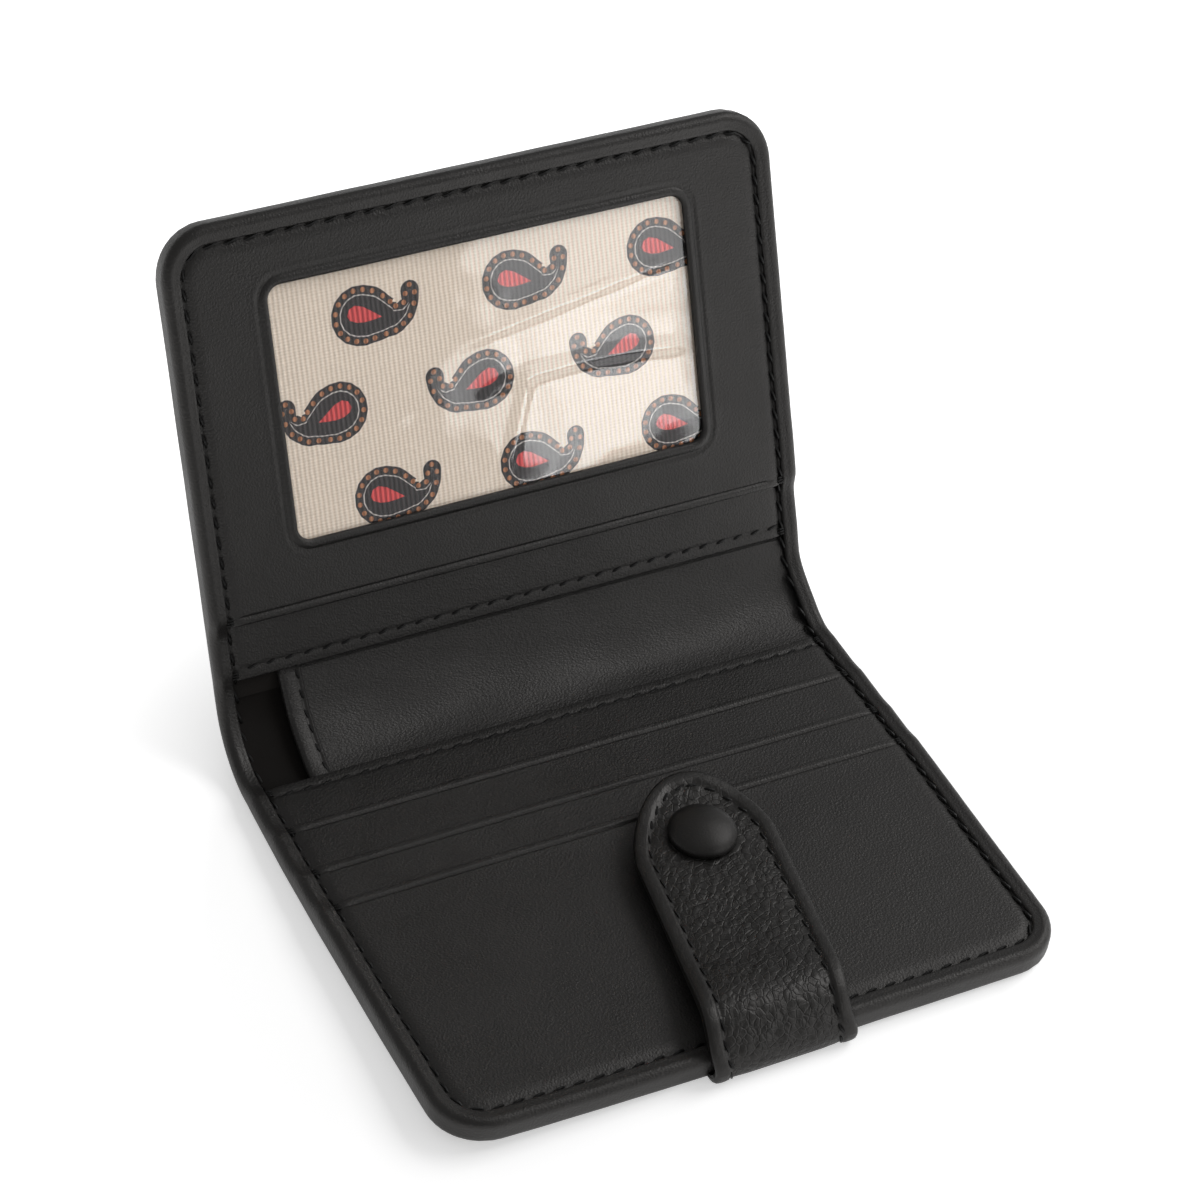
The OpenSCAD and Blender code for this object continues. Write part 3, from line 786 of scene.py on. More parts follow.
def divider(leather, thread):
    """Thin leather between the pockets, hemmed at its open left end, in two halves."""
    path = divider_path()
    middle = DIVIDER_UNDER + DIVIDER_STEPS // 2
    fine = [(DIVIDER_LEFT + 0.4, 0.4), (DIVIDER_LEFT + HEM_SEAM, 0.6), (DIVIDER_LEFT + HEM, 0.4)]
    xs = lines(DIVIDER_LEFT, HALF - 3.0, 3.0, (), fine)
    front_zone = (fold(0, -LOWER_MOUTH - 0.5, DIVIDER_W), path[middle - 2][0])
    back_zone = (path[middle + 2][0], fold(0, SPINE + UPPER_MOUTH + 0.5, DIVIDER_W))
    halves = (
        ("divider_front", 0, middle, (FRONT_HALF[0], front_zone), ["bill_divider"]),
        ("divider_back", middle, len(path) - 1, (BACK_HALF[0], back_zone), []),
    )
    for name, first, last, bend, nodes in halves:
        shape = Shape()
        seam = Shape()
        rows_top, rows_low, places = [], [], []
        for k in range(first, last + 1):
            point, normal, t = divider_step(path, k)
            v = 30 * t + (k - DIVIDER_UNDER if t in (0.0, 1.0) else 0)
            top, low = [], []
            for x in xs:
                d = x - DIVIDER_LEFT
                hem = 0.6 * (1 - smooth(HEM - 0.3, HEM + 0.2, d)) * math.sqrt(min(1.0, d / 0.6 + 0.02))
                hem += 0.25 * bell(d, 1.4, 1.1) - 0.24 * bell(d, HEM_SEAM, 0.4)
                place = point + Vector((x, 0, 0)) + normal * divider_wave(x, t)
                top.append(shape.add(place + normal * (DIVIDER_THICK / 2 + hem), (x, v)))
                low.append(shape.add(place - normal * DIVIDER_THICK / 2, (x, v)))
            rows_top.append(top)
            rows_low.append(low)
            if DIVIDER_UNDER <= k <= DIVIDER_UNDER + DIVIDER_STEPS:
                x = DIVIDER_LEFT + HEM_SEAM
                lift = divider_wave(x, t) + DIVIDER_THICK / 2 + 0.42
                places.append((point + Vector((x, 0, 0)) + normal * lift, normal))
        shape.sheet(rows_top, rows_low)
        bend_piece(shape.build(name, leather), bend, "pocket_leather", *nodes)
        stitch_line(seam, places, *DIVIDER_STITCH)
        bend_piece(seam.build(name + "_thread", thread), bend, None)


def stitch(shape, centre, along, normal, length, radius, slant=0.28):
    """One stitch: a short thread whose ends dive into the leather."""
    side = normal.cross(along).normalized()
    along = (along + side * slant).normalized()
    side = normal.cross(along).normalized()
    rings = []
    for k in range(5):
        q = -1 + k / 2
        sink = 0.42 * q * q * q * q
        r = radius * (1 - 0.35 * q * q)
        middle = centre + along * (q * length / 2) - normal * sink
        ring = []
        for m in range(6):
            a = math.tau * m / 6
            point = middle + side * (r * math.cos(a)) + normal * (r * 0.85 * math.sin(a))
            ring.append(shape.add(point, (q * length / 2, a)))
        rings.append(ring + ring[:1])
    shape.skin(rings)
    shape.face(rings[0][:-1][::-1])
    shape.face(rings[-1][:-1])


def stitch_line(shape, places, pitch, length, radius):
    """Stitches at even steps along places given as (point, normal)."""
    run = pitch / 2
    for (a, na), (b, nb) in zip(places, places[1:]):
        step = (b - a).length
        while run <= step:
            f = run / step
            stitch(shape, a.lerp(b, f), (b - a).normalized(), na.lerp(nb, f).normalized(), length, radius)
            run += pitch
        run -= step


def normal_at(s):
    """Direction from the leather's outside to its inside."""
    angle = min(max(s, 0.0), SPINE) / RADIUS
    return Vector((0, -math.sin(angle), math.cos(angle)))


def seam_height(x, s):
    """Height at which the perimeter's thread lies."""
    inward_x = math.copysign(max(0.0, abs(x) - 4), x)
    return band_top(inward_x if abs(x) > 20 else x, s) - BAND_OVER + 0.22


def perimeter(front):
    """Places of the seam round one half of the wallet, from the spine's left end round to its right end."""
    inset = SEAM + 0.12
    side = HALF - inset
    r = CORNER - inset
    end = FRONT + inset if front else BACK - inset
    inner = end + r if front else end - r
    steps = 80
    turns = [math.radians(90 * k / 8) for k in range(9)]
    flat = [(-side, MIDDLE + (inner - MIDDLE) * k / steps) for k in range(steps + 1)]
    flat += [(-side + r * (1 - math.cos(a)), inner + (end - inner) * math.sin(a)) for a in turns[1:]]
    flat += [(-side + r + 2 * (side - r) * k / steps, end) for k in range(1, steps)]
    flat += [(side - r * (1 - math.cos(a)), inner + (end - inner) * math.sin(a)) for a in turns[::-1]]
    flat += [(side, MIDDLE + (inner - MIDDLE) * k / steps) for k in range(steps - 1, -1, -1)]
    return [(fold(x, s, seam_height(x, s)), normal_at(s)) for x, s in flat]


def mouth_seam(mouth, end):
    """Places of the stitches along a slip pocket's mouth."""
    top = pocket_height(SLIP_LOW, SLIP_TOP, mouth, end, seam=True)[0]
    base = SPINE if end > 0 else 0.0
    s = base + end * (mouth + MOUTH_SEAM)
    half = HALF - 5.2
    steps = 60
    places = []
    for k in range(steps + 1):
        x = -half + 2 * half * k / steps
        places.append((fold(x, s, top(x, s) + 0.08), normal_at(s)))
    return places


def tack(shape, x, s, length):
    """Bar of tight stitches beside the end of a mouth."""
    for k in range(3):
        place = fold(x, s + 0.45 * (k - 1), seam_height(x, s) + 0.25)
        stitch(shape, place, Vector((1, 0, 0)), normal_at(s), length, 0.2, 0.0)


def threads(thread):
    """All seams of both halves."""
    sides = (
        ("thread_front", True, FRONT_HALF, LOWER_MOUTH, -1, (SLOT_1_MOUTH, SLOT_2_MOUTH, SLOT_3_MOUTH)),
        ("thread_back", False, BACK_HALF, UPPER_MOUTH, 1, (ID_MOUTH,)),
    )
    for name, front, bend, mouth, end, marks in sides:
        shape = Shape()
        stitch_line(shape, perimeter(front), *EDGE_STITCH)
        stitch_line(shape, mouth_seam(mouth, end), *MOUTH_STITCH)
        base = 0.0 if front else SPINE
        for v in (mouth, *marks):
            for x in (-HALF + SEAM + 0.3, HALF - SEAM - 0.3):
                tack(shape, x, base + end * (v + 1.0), 1.5)
        bend_piece(shape.build(name, thread), bend, None)


def spine_lining(material):
    """Dark lining inside the spine, running a little way under both pockets."""
    reach = 8.0
    half = HALF - LAYER_INSET - 0.2

    def top(x, s):
        v = max(-s, s - SPINE)
        loose = 1.25 * math.sin(math.pi * s / SPINE) if 0 < s < SPINE else 0.0
        return 1.52 + 0.44 * smooth(-2.0, 6.0, v) + loose + 0.05 * ripple(x, s, 7, 41)

    def bottom(x, s):
        return top(x, s) - 0.28

    for name, low, high, bend, nodes in (
        ("spine_lining_front", -reach, MIDDLE, FRONT_HALF, ["lining_spine"]),
        ("spine_lining_back", MIDDLE, SPINE + reach, BACK_HALF, []),
    ):
        shape = Shape()
        slab(shape, lines(-half, half, 3.0), lines(low, high, 1.0), lambda x, s: (x, s), fold, top, bottom)
        piece = shape.build(name, material)
        bend_piece(piece, bend, "lining", *nodes)


# outer face of the tab, from its sewn end to its tip
TAB_FACE_Y = EDGE_Y - TAB_ROOM - TAB_THICK
FOOT_R = 2.2
TOP_DEEP = 9.5
TOP_HIGH = 6.3
TAB_TOP = STRAP_W + TAB_THICK / 2
TOP_RUN = math.pi / 2 * math.sqrt((TOP_DEEP**2 + TOP_HIGH**2) / 2)
TAB_RUNS = [TAB_ROOT, FOOT_R * math.pi / 2, TAB_TOP - FOOT_R - TOP_HIGH, TOP_RUN]
TAB_TIP_Y = SNAP_Y + TIP_BEYOND_SNAP
TAB_RUNS.append(TAB_TIP_Y - TAB_FACE_Y - TOP_DEEP)
TAB_LENGTH = sum(TAB_RUNS)
TIP_START = TAB_LENGTH - TIP_LENGTH


def tab_frame(p):
    """Place (y, z) and outward direction of the tab's outer face at a length along it."""
    if p < TAB_RUNS[0]:
        return EDGE_Y + TAB_ROOT - p, 0.0, (0.0, -1.0)
    p -= TAB_RUNS[0]
    if p < TAB_RUNS[1]:
        a = p / FOOT_R
        return EDGE_Y - FOOT_R * math.sin(a), FOOT_R - FOOT_R * math.cos(a), (-math.sin(a), -math.cos(a))
    p -= TAB_RUNS[1]
    if p < TAB_RUNS[2]:
        return TAB_FACE_Y, FOOT_R + p, (-1.0, 0.0)
    p -= TAB_RUNS[2]
    if p < TAB_RUNS[3]:
        a = math.pi / 2 * p / TOP_RUN
        y = TAB_FACE_Y + TOP_DEEP - TOP_DEEP * math.cos(a)
        ny, nz = -math.cos(a) / TOP_DEEP, math.sin(a) / TOP_HIGH
        long = math.hypot(ny, nz)
        return y, TAB_TOP - TOP_HIGH + TOP_HIGH * math.sin(a), (ny / long, nz / long)
    p -= TAB_RUNS[3]
    return TAB_FACE_Y + TOP_DEEP + p, TAB_TOP, (0.0, 1.0)


def tab_point(u, p, depth):
    """Place on the tab: u across it, p along it, depth under its outer face."""
    y, z, (ny, nz) = tab_frame(p)
    depth *= 0.44 + 0.56 * smooth(TAB_ROOT - 1.5, TAB_ROOT + 1.6, p)
    y -= ny * depth
    z -= nz * depth
    forward = max(0.0, y - TAB_FACE_Y)
    arch = smooth(4.0, 8.5, z) * bell(y, TAB_FACE_Y + 8.0, 8.5)
    aside = 1.1 * smooth(2.5, 7.0, z) * (1 - smooth(0.0, 26.0, forward))
    z += arch * (1.9 - 0.03 * u) + 0.4 * smooth(8.0, 24.0, forward)
    z += 1.2 * smooth(TAB_LENGTH - TIP_BEYOND_SNAP + 5, TAB_LENGTH, p)
    z += 0.12 * ripple(u, p, 8, 51) * smooth(4.0, 8.0, z) * (1 - bell(p, TAB_LENGTH - TIP_BEYOND_SNAP, 9))
    lean = TAB_LEAN * forward / (SNAP_Y - TAB_FACE_Y) if p > TAB_ROOT + 3 else 0.0
    return Vector((TAB_X + lean - aside + u, y, z))


def tab_half(p, inset=0.0):
    """Half width of the tab at a length along it."""
    half = TAB_WIDTH / 2 - inset
    long = TIP_LENGTH - inset
    q = (p - TIP_START) / long
    if q <= 0:
        return half
    a = math.asin(min(1.0, q))
    return half * math.cos(a) * (1 - 0.17 * math.sin(a))


def tab_edge(u, p):
    """Distance from the tab's side or tip."""
    side = tab_half(p) - abs(u)
    if p <= TIP_START:
        return side
    before, after = p - 0.3, min(p + 0.3, TAB_LENGTH)
    slope = tab_half(before) - tab_half(after)
    run = after - before
    return min(side * run / math.hypot(slope, run), TAB_LENGTH - p)


def tab_surface(e):
    """Depth of the outer leather's face under the hem's height, at a distance from the edge."""
    edge = 0.55 * (1 - math.sqrt(1 - (1 - min(1.0, e / 0.75)) ** 2))
    step = 0.27 * smooth(TAB_HEM - 0.25, TAB_HEM + 0.25, e) - 0.12 * smooth(3.2, 6.5, e)
    return edge + step + 0.10 * bell(e, TAB_HEM + 0.35, 0.4) - 0.05 * bell(e, 1.5, 0.7)


def tab_rows(start, stop):
    """Lengths along the tab for one of its pieces, closer at the bends and towards the tip."""
    rows = lines(start, min(stop, TIP_START), 0.8, [TAB_ROOT])
    if stop > TIP_START:
        rows = [p for p in rows if p < TIP_START - 0.05]
        rows += [TIP_START + TIP_LENGTH * math.sin(math.radians(90 * k / 34)) for k in range(34)]
        rows.append(TAB_LENGTH - 0.004)
    return rows


def tab_sheet(name, run, faces, inset, material, slot, bend, nodes=()):
    """One leather of the tab over a run of lengths: faces give the depths of its two sides."""
    high, low = faces
    shape = Shape()
    marks = [0, 0.12, 0.35, 0.75, 1.3, 1.9, 2.3, 2.55, 2.8, 3.1, 3.5, 4.2, 5.2, 6.4]
    ratios = [-1 + m / (TAB_WIDTH / 2) for m in marks]
    ratios = sorted({*ratios, *[-r for r in ratios], *[k / 8 for k in range(-4, 5)]})
    top, under = [], []
    for p in tab_rows(*run):
        half = tab_half(p) * (1 - inset / (TAB_WIDTH / 2))
        a, b = [], []
        for r in ratios:
            u = half * r
            e = tab_edge(u, p)
            a.append(shape.add(tab_point(u, p, high(e)), (u, p)))
            b.append(shape.add(tab_point(u, p, low(e)), (u, p)))
        top.append(a)
        under.append(b)
    shape.sheet(top, under)
    piece = shape.build(name, material, sharp=50)
    inner = piece.data.attributes.new("inner", "FLOAT", "POINT")
    for k, (u, p) in enumerate(shape.flat):
        inner.data[k].value = 0.25 + 0.75 * smooth(1.6, 4.0, tab_edge(u, min(p, TAB_LENGTH - 0.01)))
    bend_piece(piece, bend, slot, *nodes)


def tab_seam(start, stop):
    """Stitches beside both edges of the tab between two lengths, and round its tip."""
    shape = Shape()
    inset = TAB_HEM + 0.35
    run = lines(max(start, TAB_ROOT + 1), min(stop, TIP_START), 0.5)
    if stop > TIP_START:
        run += [TIP_START + (TIP_LENGTH - inset) * math.sin(math.radians(3 * k)) for k in range(1, 31)]
    for side in (-1, 1):
        places = []
        for p in run:
            u = side * tab_half(p, inset)
            here = tab_point(u, p, tab_surface(inset) - 0.14)
            places.append((here, (here - tab_point(u, p, TAB_THICK)).normalized()))
        stitch_line(shape, places, *TAB_STITCH)
    return shape


def tab(grained, plain, thread):
    """The snap tab: grained outer leather over a plain inner one, in three stretches that meet at bends."""
    low_bend, high_bend = TAB_BENDS[1], TAB_BENDS[2]
    foot_end = TAB_ROOT + FOOT_R * math.pi / 2 + 0.8
    turn_end = sum(TAB_RUNS[:3])
    while tab_frame(turn_end)[0] < (low_bend.y + high_bend.y) / 2:
        turn_end += 0.05
    stretches = (
        ("foot", 0.0, foot_end, ("lower", "riser"), ["tab_root"]),
        ("turn", foot_end, turn_end, ("riser", "bridge"), ["tab_riser", "tab_bridge"]),
        ("end", turn_end, TAB_LENGTH, ("bridge", "strap"), ["tab_strap", "tab_lining"]),
    )
    zones = (
        (Vector((0, EDGE_Y + 0.8, 0.4)), Vector((0, EDGE_Y - 1.6, 2.6))),
        (Vector((0, low_bend.y, low_bend.z - 3.6)), Vector((0, low_bend.y + 5, low_bend.z + 1))),
        (Vector((0, high_bend.y - 4, STRAP_W)), Vector((0, high_bend.y + 4, STRAP_W))),
    )
    outer = (tab_surface, lambda e: 0.98)
    inner = (lambda e: 1.0, lambda e: TAB_THICK - 0.3 * bell(e, 0, 0.4))
    for (part, start, stop, bodies, nodes), zone in zip(stretches, zones):
        run, bend = (start, stop), (bodies, zone)
        tab_sheet(f"tab_grain_{part}", run, outer, 0.0, grained, "grained_leather", bend, nodes)
        tab_sheet(f"tab_inner_{part}", run, inner, 0.1, plain, "lining_leather", bend)
        bend_piece(tab_seam(*run).build(f"tab_thread_{part}", thread), bend, None)


def snap_cap(material):
    """Leather covered cap: a smooth dome whose skirt is drawn in under it."""
    shape = Shape()
    base = TAB_TOP + 0.1
    section = []
    for k in range(1, 15):
        a = math.radians(90 - 90 * k / 14)
        r = (CAP_RADIUS - 0.7) * math.cos(a) + 0.7 * math.cos(a) ** 2
        section.append((r, 0.75 + (CAP_HEIGHT - 0.75) * math.sin(a) ** 0.9))
    section += [(CAP_RADIUS - 0.12, 0.35), (CAP_RADIUS - 0.5, 0.08), (CAP_RADIUS - 1.2, -0.02), (1.5, -0.02)]
    section += [(1.45, -TAB_THICK)]
    count = 72
    apex = shape.add(Vector((SNAP_X, SNAP_Y, base + CAP_HEIGHT)), (0, 0))
    rings = []
    for r, h in section:
        ring = []
        for k in range(count):
            a = math.tau * k / count
            pucker = 0.05 * math.sin(18 * a + 2 * math.sin(3 * a)) * bell(h, 0.2, 0.35) * min(1.0, r / 5)
            x, y = (r + pucker) * math.cos(a), (r + pucker) * math.sin(a)
            wave = 0.04 * ripple(x, y, 3, 61)
            ring.append(shape.add(Vector((SNAP_X + x, SNAP_Y + y, base + h + wave)), (x, y)))
        rings.append(ring + ring[:1])
    for k in range(count):
        shape.face((apex, rings[0][k], rings[0][k + 1]))
    shape.skin(rings)
    shape.face(rings[-1][:-1])
    piece = shape.build("snap_cap_leather", material, sharp=70)
    finish_piece(piece, "strap", "smooth_leather", "snap_cap")


def add_node(tree, kind, output, values, **settings):
    """New shader node with its sockets filled and its settings made; gives back one of its outputs."""
    node = tree.nodes.new("ShaderNode" + kind)
    for key, value in settings.items():
        setattr(node, key, value)
    fill(tree, node, values)
    return node.outputs[output]


def fill(tree, node, values):
    """Gives a node's sockets plain values or other nodes' outputs."""
    for key, value in values.items():
        if isinstance(value, bpy.types.NodeSocket):
            tree.links.new(value, node.inputs[key])
        else:
            node.inputs[key].default_value = value


class Look:
    """A material in the making, on the flat coordinates or on the object's own; sizes in millimetres."""

    def __init__(self, name, source, values):
        self.material = bpy.data.materials.new(name)
        self.material.use_nodes = True
        self.tree = self.material.node_tree
        self.shader = self.tree.nodes["Principled BSDF"]
        self.normal = None
        if source == "flat":
            self.place = self.node("UVMap", "UV", {}, uv_map="flat")
            self.unit = 100.0
        else:
            self.place = self.node("TexCoord", "Object", {})
            self.unit = 1 / MM
        self.set(values)

    def node(self, kind, output, values, **settings):
        return add_node(self.tree, kind, output, values, **settings)

    def set(self, values):
        fill(self.tree, self.shader, values)

    def noise(self, size, detail=2.0, rough=0.55):
        """Noise with bumps of a size."""
        values = {"Scale": self.unit / size, "Detail": detail, "Roughness": rough, "Vector": self.place}
        return self.node("TexNoise", "Fac", values)

    def warped(self, size):
        """Place on the leather, shifted unevenly so that its cells come out irregular."""
        values = {"Scale": self.unit / (size * 2.5), "Vector": self.place}
        bend = self.node("TexNoise", "Color", values)
        values = {"Factor": 0.9 * size / self.unit, "A": self.place, "B": bend}
        return self.node("Mix", "Result", values, data_type="VECTOR")

    def soft_step(self, value, low, high):
        """Soft step of a value from 0 at low to 1 at high."""
        values = {"From Min": low, "From Max": high, "Value": value}
        return self.node("MapRange", "Result", values, interpolation_type="SMOOTHSTEP")

    def creases(self, size):
        """Flat cells with fine creases between, a little smaller than pebbles of the size."""
        values = {"Scale": self.unit / (0.8 * size), "Vector": self.warped(size)}
        cells = self.node("TexVoronoi", "Distance", values, feature="DISTANCE_TO_EDGE")
        return self.soft_step(cells, 0.0, 0.14)

    def pebbles(self, size):
        """Rounded pebbles of a size with valleys between."""
        values = {"Scale": self.unit / size, "Smoothness": 0.35, "Vector": self.warped(size)}
        cells = self.node("TexVoronoi", "Distance", values, feature="SMOOTH_F1")
        return self.soft_step(cells, 0.75, 0.15)

    def ribs(self, size, axis):
        """Fine parallel ribs of a size on the flat cloth."""
        scale = self.unit / size * math.pi / 10
        values = {"Scale": scale, "Distortion": 0.6, "Detail": 1.0, "Vector": self.place}
        return self.node("TexWave", "Fac", values, bands_direction=axis)

    def away_from_rim(self, height):
        """Height that fades out towards the tab's turned edge."""
        rim = self.node("Attribute", "Fac", {}, attribute_name="inner")
        return self.node("Math", 0, {0: height, 1: rim}, operation="MULTIPLY")

    def bump(self, height, depth):
        """Raises a height by a depth, over the bumps before."""
        values = {"Strength": 1.0, "Distance": depth * MM, "Height": height}
        if self.normal is not None:
            values["Normal"] = self.normal
        self.normal = self.node("Bump", "Normal", values)
        self.set({"Normal": self.normal})

    def roughness(self, factor, low, high):
        """Roughness that follows a factor's middle range."""
        values = {"From Min": 0.3, "From Max": 0.7, "To Min": low, "To Max": high, "Value": factor}
        self.set({"Roughness": self.node("MapRange", "Result", values)})

    def colour(self, factor, dark, light):
        """Colour that follows a factor's middle range."""
        tones = self.node("ValToRGB", "Color", {"Fac": factor})
        ends = tones.node.color_ramp.elements
        ends[0].position, ends[1].position = 0.3, 0.7
        ends[0].color, ends[1].color = (*dark, 1), (*light, 1)
        self.set({"Base Color": tones})


def leather(name, tone, rough, grain, pebble=None, shine=0.5, source="flat", rim=False):
    """Dyed leather of uneven gloss and tone: grain and pebbles are given as (size, depth)."""
    look = Look(name, source, {"Specular IOR Level": shine, "Specular Tint": (1.0, 0.97, 0.945, 1)})
    mottle = look.noise(9.0, 4.0, 0.6)
    look.colour(mottle, [0.80 * c for c in tone], [1.22 * c for c in tone])
    look.roughness(mottle, rough - 0.06, rough + 0.06)
    look.bump(look.noise(5.0), 0.02)
    if pebble:
        size, depth = pebble
        pebbles = look.pebbles(size)
        if rim:
            pebbles = look.away_from_rim(pebbles)
            look.bump(look.away_from_rim(look.creases(size)), 0.045)
        look.bump(pebbles, depth)
    size, depth = grain
    look.bump(look.noise(size, 2.0, 0.6), depth)
    return look.material


def thread_material():
    """Waxed black thread with a fine twist."""
    values = {"Base Color": (0.0035, 0.0033, 0.0031, 1), "Specular IOR Level": 0.25}
    look = Look("waxed_thread", "object", values)
    twist = look.noise(0.25)
    look.roughness(twist, 0.35, 0.5)
    look.bump(twist, 0.04)
    return look.material


def cloth_material():
    """Ribbed satin cloth, cream, with fine upright ribs."""
    look = Look("ribbed_cloth", "flat", {})
    ribs = look.ribs(RIB, "X")
    picks = look.ribs(0.6 * RIB, "Y")
    look.colour(ribs, (0.90, 0.755, 0.61), (0.97, 0.845, 0.72))
    look.roughness(picks, 0.5, 0.7)
    look.bump(ribs, 0.06)
    look.bump(picks, 0.05)
    return look.material


def ink_material(name, dark, light):
    """Ink on the ribbed cloth, which shows the ribs through."""
    look = Look(name, "flat", {})
    ribs = look.ribs(RIB, "X")
    look.colour(ribs, dark, light)
    look.roughness(look.noise(0.3, 1.0), 0.55, 0.75)
    look.bump(ribs, 0.08)
    return look.material


def film_material():
    """Clear thin plastic with soft waves."""
    look = Look("clear_film", "flat", {"Base Color": (1, 1, 1, 1), "Transmission Weight": 1.0, "IOR": 1.46})
    look.roughness(look.noise(6.0, 3.0), 0.02, 0.06)
    look.bump(look.noise(9.0, 0.0), 0.06)
    return look.material


def metal_material():
    """Brushed nickel of the snap, a little worn."""
    look = Look("snap_nickel", "object", {"Metallic": 1.0})
    wear = look.noise(1.5, 4.0)
    look.colour(wear, (0.42, 0.40, 0.37), (0.58, 0.56, 0.52))
    look.roughness(wear, 0.22, 0.4)
    look.bump(look.noise(0.3), 0.01)
    return look.material


def board_material():
    """Grey-brown pulp board."""
    look = Look("pulp_board", "object", {})
    pulp = look.noise(1.2, 5.0, 0.7)
    look.colour(pulp, (0.075, 0.06, 0.045), (0.13, 0.105, 0.08))
    look.roughness(pulp, 0.8, 0.95)
    look.bump(pulp, 0.05)
    return look.material


def floor_material():
    """White floor that keeps only the wallet's soft contact shadow, seen straight or mirrored."""
    look = Look("white_floor", "object", {"Base Color": (0.96, 0.96, 0.96, 1), "Roughness": 0.9})
    # painted light: the floor glows less near the wallet's front-left and more farther away, which washes out
    # the wallet's cast shadow away from there
    middle = (-0.010, (FOLD_1.y - 45) * MM, 0)
    reach = look.node("VectorMath", "Value", {0: look.place, 1: middle}, operation="DISTANCE")
    values = {"From Min": 0.065, "From Max": 0.105, "To Min": 0.46, "To Max": 0.90, "Value": reach}
    lift = look.node("MapRange", "Result", values)
    straight = look.node("LightPath", "Is Camera Ray", {})
    mirrored = look.node("LightPath", "Is Glossy Ray", {})
    seen = look.node("Math", 0, {0: straight, 1: mirrored}, operation="MAXIMUM")
    glow = look.node("Math", 0, {0: lift, 1: seen}, operation="MULTIPLY")
    look.set({"Specular IOR Level": 0.0, "Emission Color": (1, 1, 1, 1), "Emission Strength": glow})
    return look.material


# camera in metres and degrees, and its lens in millimetres
CAMERA_PLACE = (-0.2480, -0.3866, 0.4686)
CAMERA_AZIMUTH = -32.38
CAMERA_ELEVATION = 42.85
CAMERA_ROLL = 8.26
CAMERA_LENS = 117.04


def area_light(name, toward, distance, size, power, aim):
    """Soft rectangular light in a direction from the wallet."""
    data = bpy.data.lights.new(name, "AREA")
    data.shape = "RECTANGLE"
    data.size, data.size_y = size
    data.energy = power
    light = add_object(name, data)
    light.location = aim + Vector(toward).normalized() * distance
    light.rotation_euler = (aim - light.location).to_track_quat("-Z", "Y").to_euler()


def studio():
    """White floor, soft world and soft lights."""
    mesh = bpy.data.meshes.new("floor")
    mesh.from_pydata([(-3, -3, 0), (3, -3, 0), (3, 3, 0), (-3, 3, 0)], [], [(0, 1, 2, 3)])
    mesh.materials.append(floor_material())
    floor = add_object("floor", mesh)
    floor.location.z = -0.00005

    world = bpy.data.worlds.new("studio")
    bpy.context.scene.world = world
    world.use_nodes = True
    tree = world.node_tree
    seen = add_node(tree, "LightPath", "Is Camera Ray", {})
    level = add_node(tree, "MapRange", "Result", {"To Min": 0.33, "To Max": 1.0, "Value": seen})
    fill(tree, tree.nodes["Background"], {"Color": (1, 1, 1, 1), "Strength": level})
    bpy.context.scene.view_settings.view_transform = "Standard"

    # each light's direction, distance, size, power and aim
    aim = Vector((0, 0, 0.03))
    area_light("key", (0.95, -0.05, 0.9), 0.8, (0.5, 0.4), 2.6, aim)
    area_light("front_right", (0.62, -0.74, 0.20), 0.34, (0.16, 0.12), 0.12, aim + Vector((0, 0, 0.025)))
    area_light("back_right", (0.75, 0.45, 0.70), 0.45, (0.25, 0.25), 0.05, aim)

    seen = fold(18, SPINE + 39, FILM_LOW + PUFF) * MM
    ray = (seen - Vector(CAMERA_PLACE)).normalized()
    mirrored = ray - 2 * ray.dot(normal_at(SPINE)) * normal_at(SPINE)
    area_light("film_glare", mirrored, 0.45, (0.075, 0.045), 0.022, seen)


def camera():
    """Camera at the photograph's place, rolled as the photograph is."""
    a, e, roll = (math.radians(v) for v in (CAMERA_AZIMUTH, CAMERA_ELEVATION, CAMERA_ROLL))
    back = Vector((math.sin(a) * math.cos(e), -math.cos(a) * math.cos(e), math.sin(e)))
    right = Vector((0, 0, 1)).cross(back).normalized()
    up = back.cross(right)
    turned_right = math.cos(roll) * right + math.sin(roll) * up
    turned_up = math.cos(roll) * up - math.sin(roll) * right
    data = bpy.data.cameras.new("camera")
    data.lens = CAMERA_LENS
    data.sensor_width = 36
    data.clip_start = 0.01
    view = add_object("camera", data)
    axes = Matrix((turned_right, turned_up, back)).transposed()
    view.matrix_world = Matrix.Translation(CAMERA_PLACE) @ axes.to_4x4()
    bpy.context.scene.camera = view


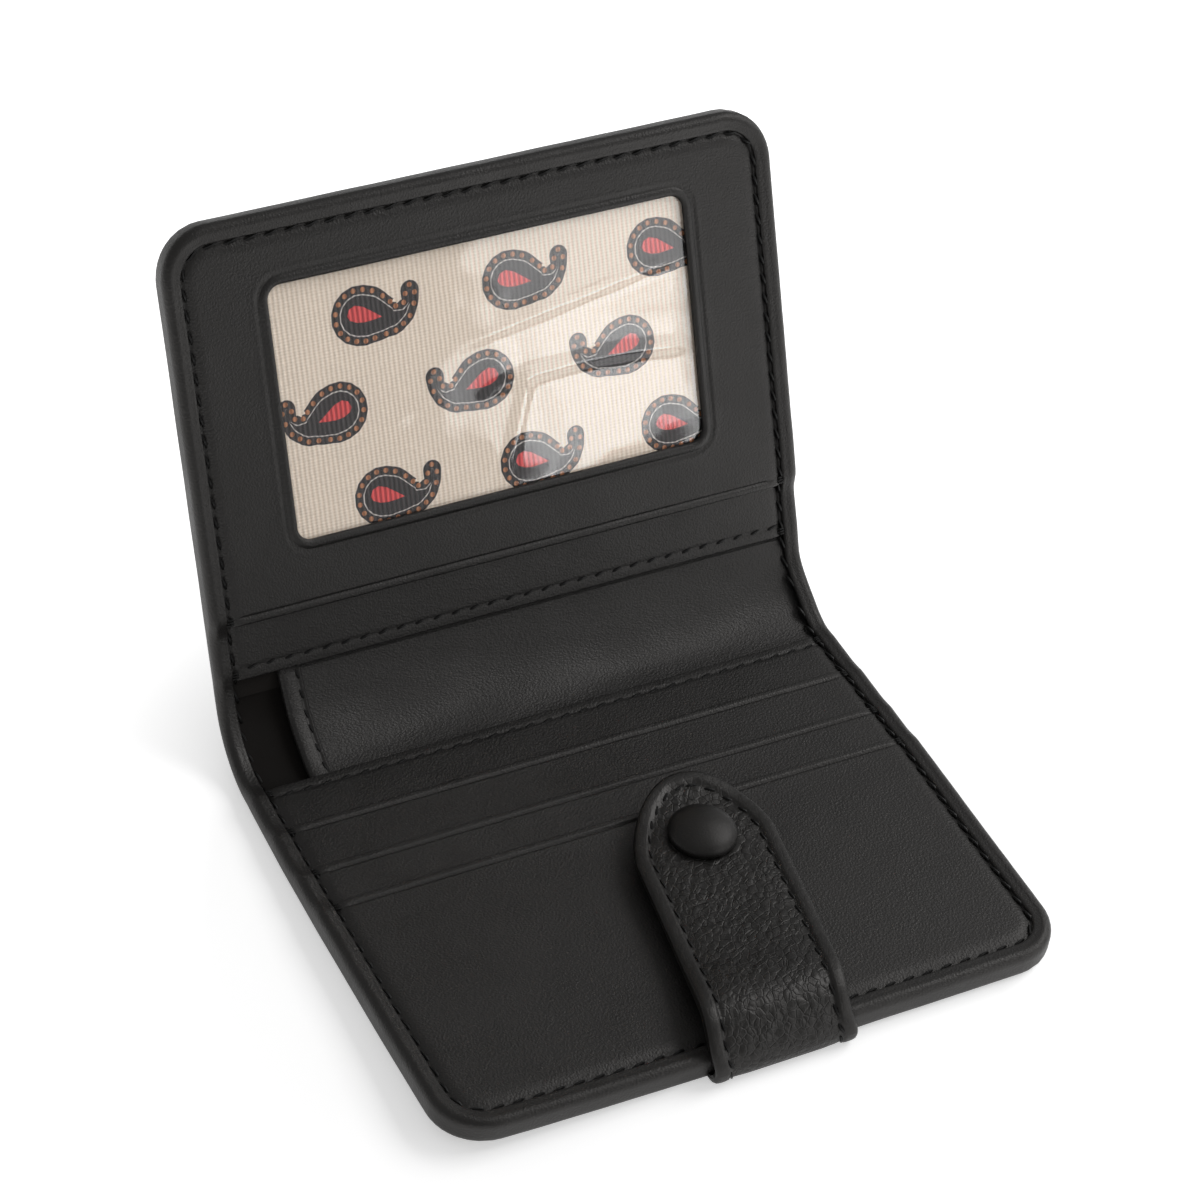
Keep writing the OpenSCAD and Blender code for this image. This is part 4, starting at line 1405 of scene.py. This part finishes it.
def main():
    """Builds every piece, then the studio and the camera."""
    cover = leather("cover_leather", (0.0105, 0.0099, 0.0095), 0.48, (0.42, 0.07), (1.1, 0.05))
    edge = leather("edge_leather", (0.0085, 0.0080, 0.0076), 0.46, (0.32, 0.065), (0.45, 0.024))
    inner = leather("pocket_leather", (0.0090, 0.0085, 0.0082), 0.46, (0.32, 0.07), (0.45, 0.028))
    thin = leather("divider_leather", (0.0090, 0.0085, 0.0083), 0.46, (0.34, 0.07), (0.55, 0.03))
    tone = (0.0060, 0.0056, 0.0052)
    grained = leather("grained_leather", tone, 0.41, (0.3, 0.035), (1.5, 0.085), shine=0.42, rim=True)
    plain = leather("tab_inner_leather", (0.009, 0.0085, 0.008), 0.5, (0.3, 0.05))
    smooth_cap = leather("cap_leather", (0.0060, 0.0056, 0.0053), 0.46, (0.35, 0.03), shine=0.42)
    lining = leather("spine_lining", (0.0050, 0.0040, 0.0034), 0.8, (0.5, 0.04), shine=0.2)
    tone = (0.0070, 0.0056, 0.0048)
    panel_lining = leather("panel_lining", tone, 0.8, (0.5, 0.04), shine=0.3, source="object")
    thread = thread_material()

    front = half_cover("cover_front", True, cover, edge)
    back = half_cover("cover_back", False, cover, edge)
    front_nodes = ("cover_lower", "edge_band_lower", "cover_spine", "spine_edge_left", "spine_edge_right")
    bend_piece(front, FRONT_HALF, "cover_leather", *front_nodes)
    bend_piece(back, BACK_HALF, "cover_leather", "cover_upper", "edge_band_upper")

    slip = (inner, SLIP_LOW, SLIP_TOP)
    pocket("pocket_lower", "slip_pocket_lower", *slip, LOWER_MOUTH, SLOT_1_MOUTH, -1, seam=True)
    slots = (
        (SLOT_1_LOW, SLOT_1_TOP, SLOT_1_MOUTH, SLOT_2_MOUTH, 0.15),
        (SLOT_2_LOW, SLOT_2_TOP, SLOT_2_MOUTH, SLOT_3_MOUTH, 0.18),
        (SLOT_3_LOW, SLOT_3_TOP, SLOT_3_MOUTH, PANEL, 0.2),
    )
    for k, (low, high, mouth, shown, lip) in enumerate(slots, 1):
        pocket(f"card_{k}", f"card_slot_{k}", inner, low, high, mouth, shown, -1, crease=1.5, lip=lip)
    pocket("pocket_upper", "slip_pocket_upper", *slip, UPPER_MOUTH, ID_MOUTH, 1, seam=True)

    id_frame(inner)
    window_cloth(cloth_material())
    dark_ink = ink_material("dark_ink", (0.020, 0.017, 0.018), (0.042, 0.034, 0.034))
    pale_ink = ink_material("pale_ink", (0.40, 0.37, 0.35), (0.66, 0.62, 0.58))
    rust_ink = ink_material("rust_ink", (0.34, 0.125, 0.05), (0.52, 0.23, 0.11))
    red_ink = ink_material("red_ink", (0.50, 0.035, 0.04), (0.85, 0.10, 0.10))
    window_print((dark_ink, pale_ink, rust_ink, red_ink))
    window_film(film_material())
    divider(thin, thread)
    spine_lining(lining)
    threads(thread)
    tab(grained, plain, thread)
    snap_cap(smooth_cap)

    metal = metal_material()
    board = board_material()
    for material, nodes in (
        (metal, ("snap_stud", "snap_socket")),
        (board, ("board_lower", "board_upper")),
        (panel_lining, ("lining_lower", "lining_upper")),
    ):
        for node in nodes:
            for place in bpy.data.objects[node].material_slots:
                place.material = material

    studio()
    camera()


main()
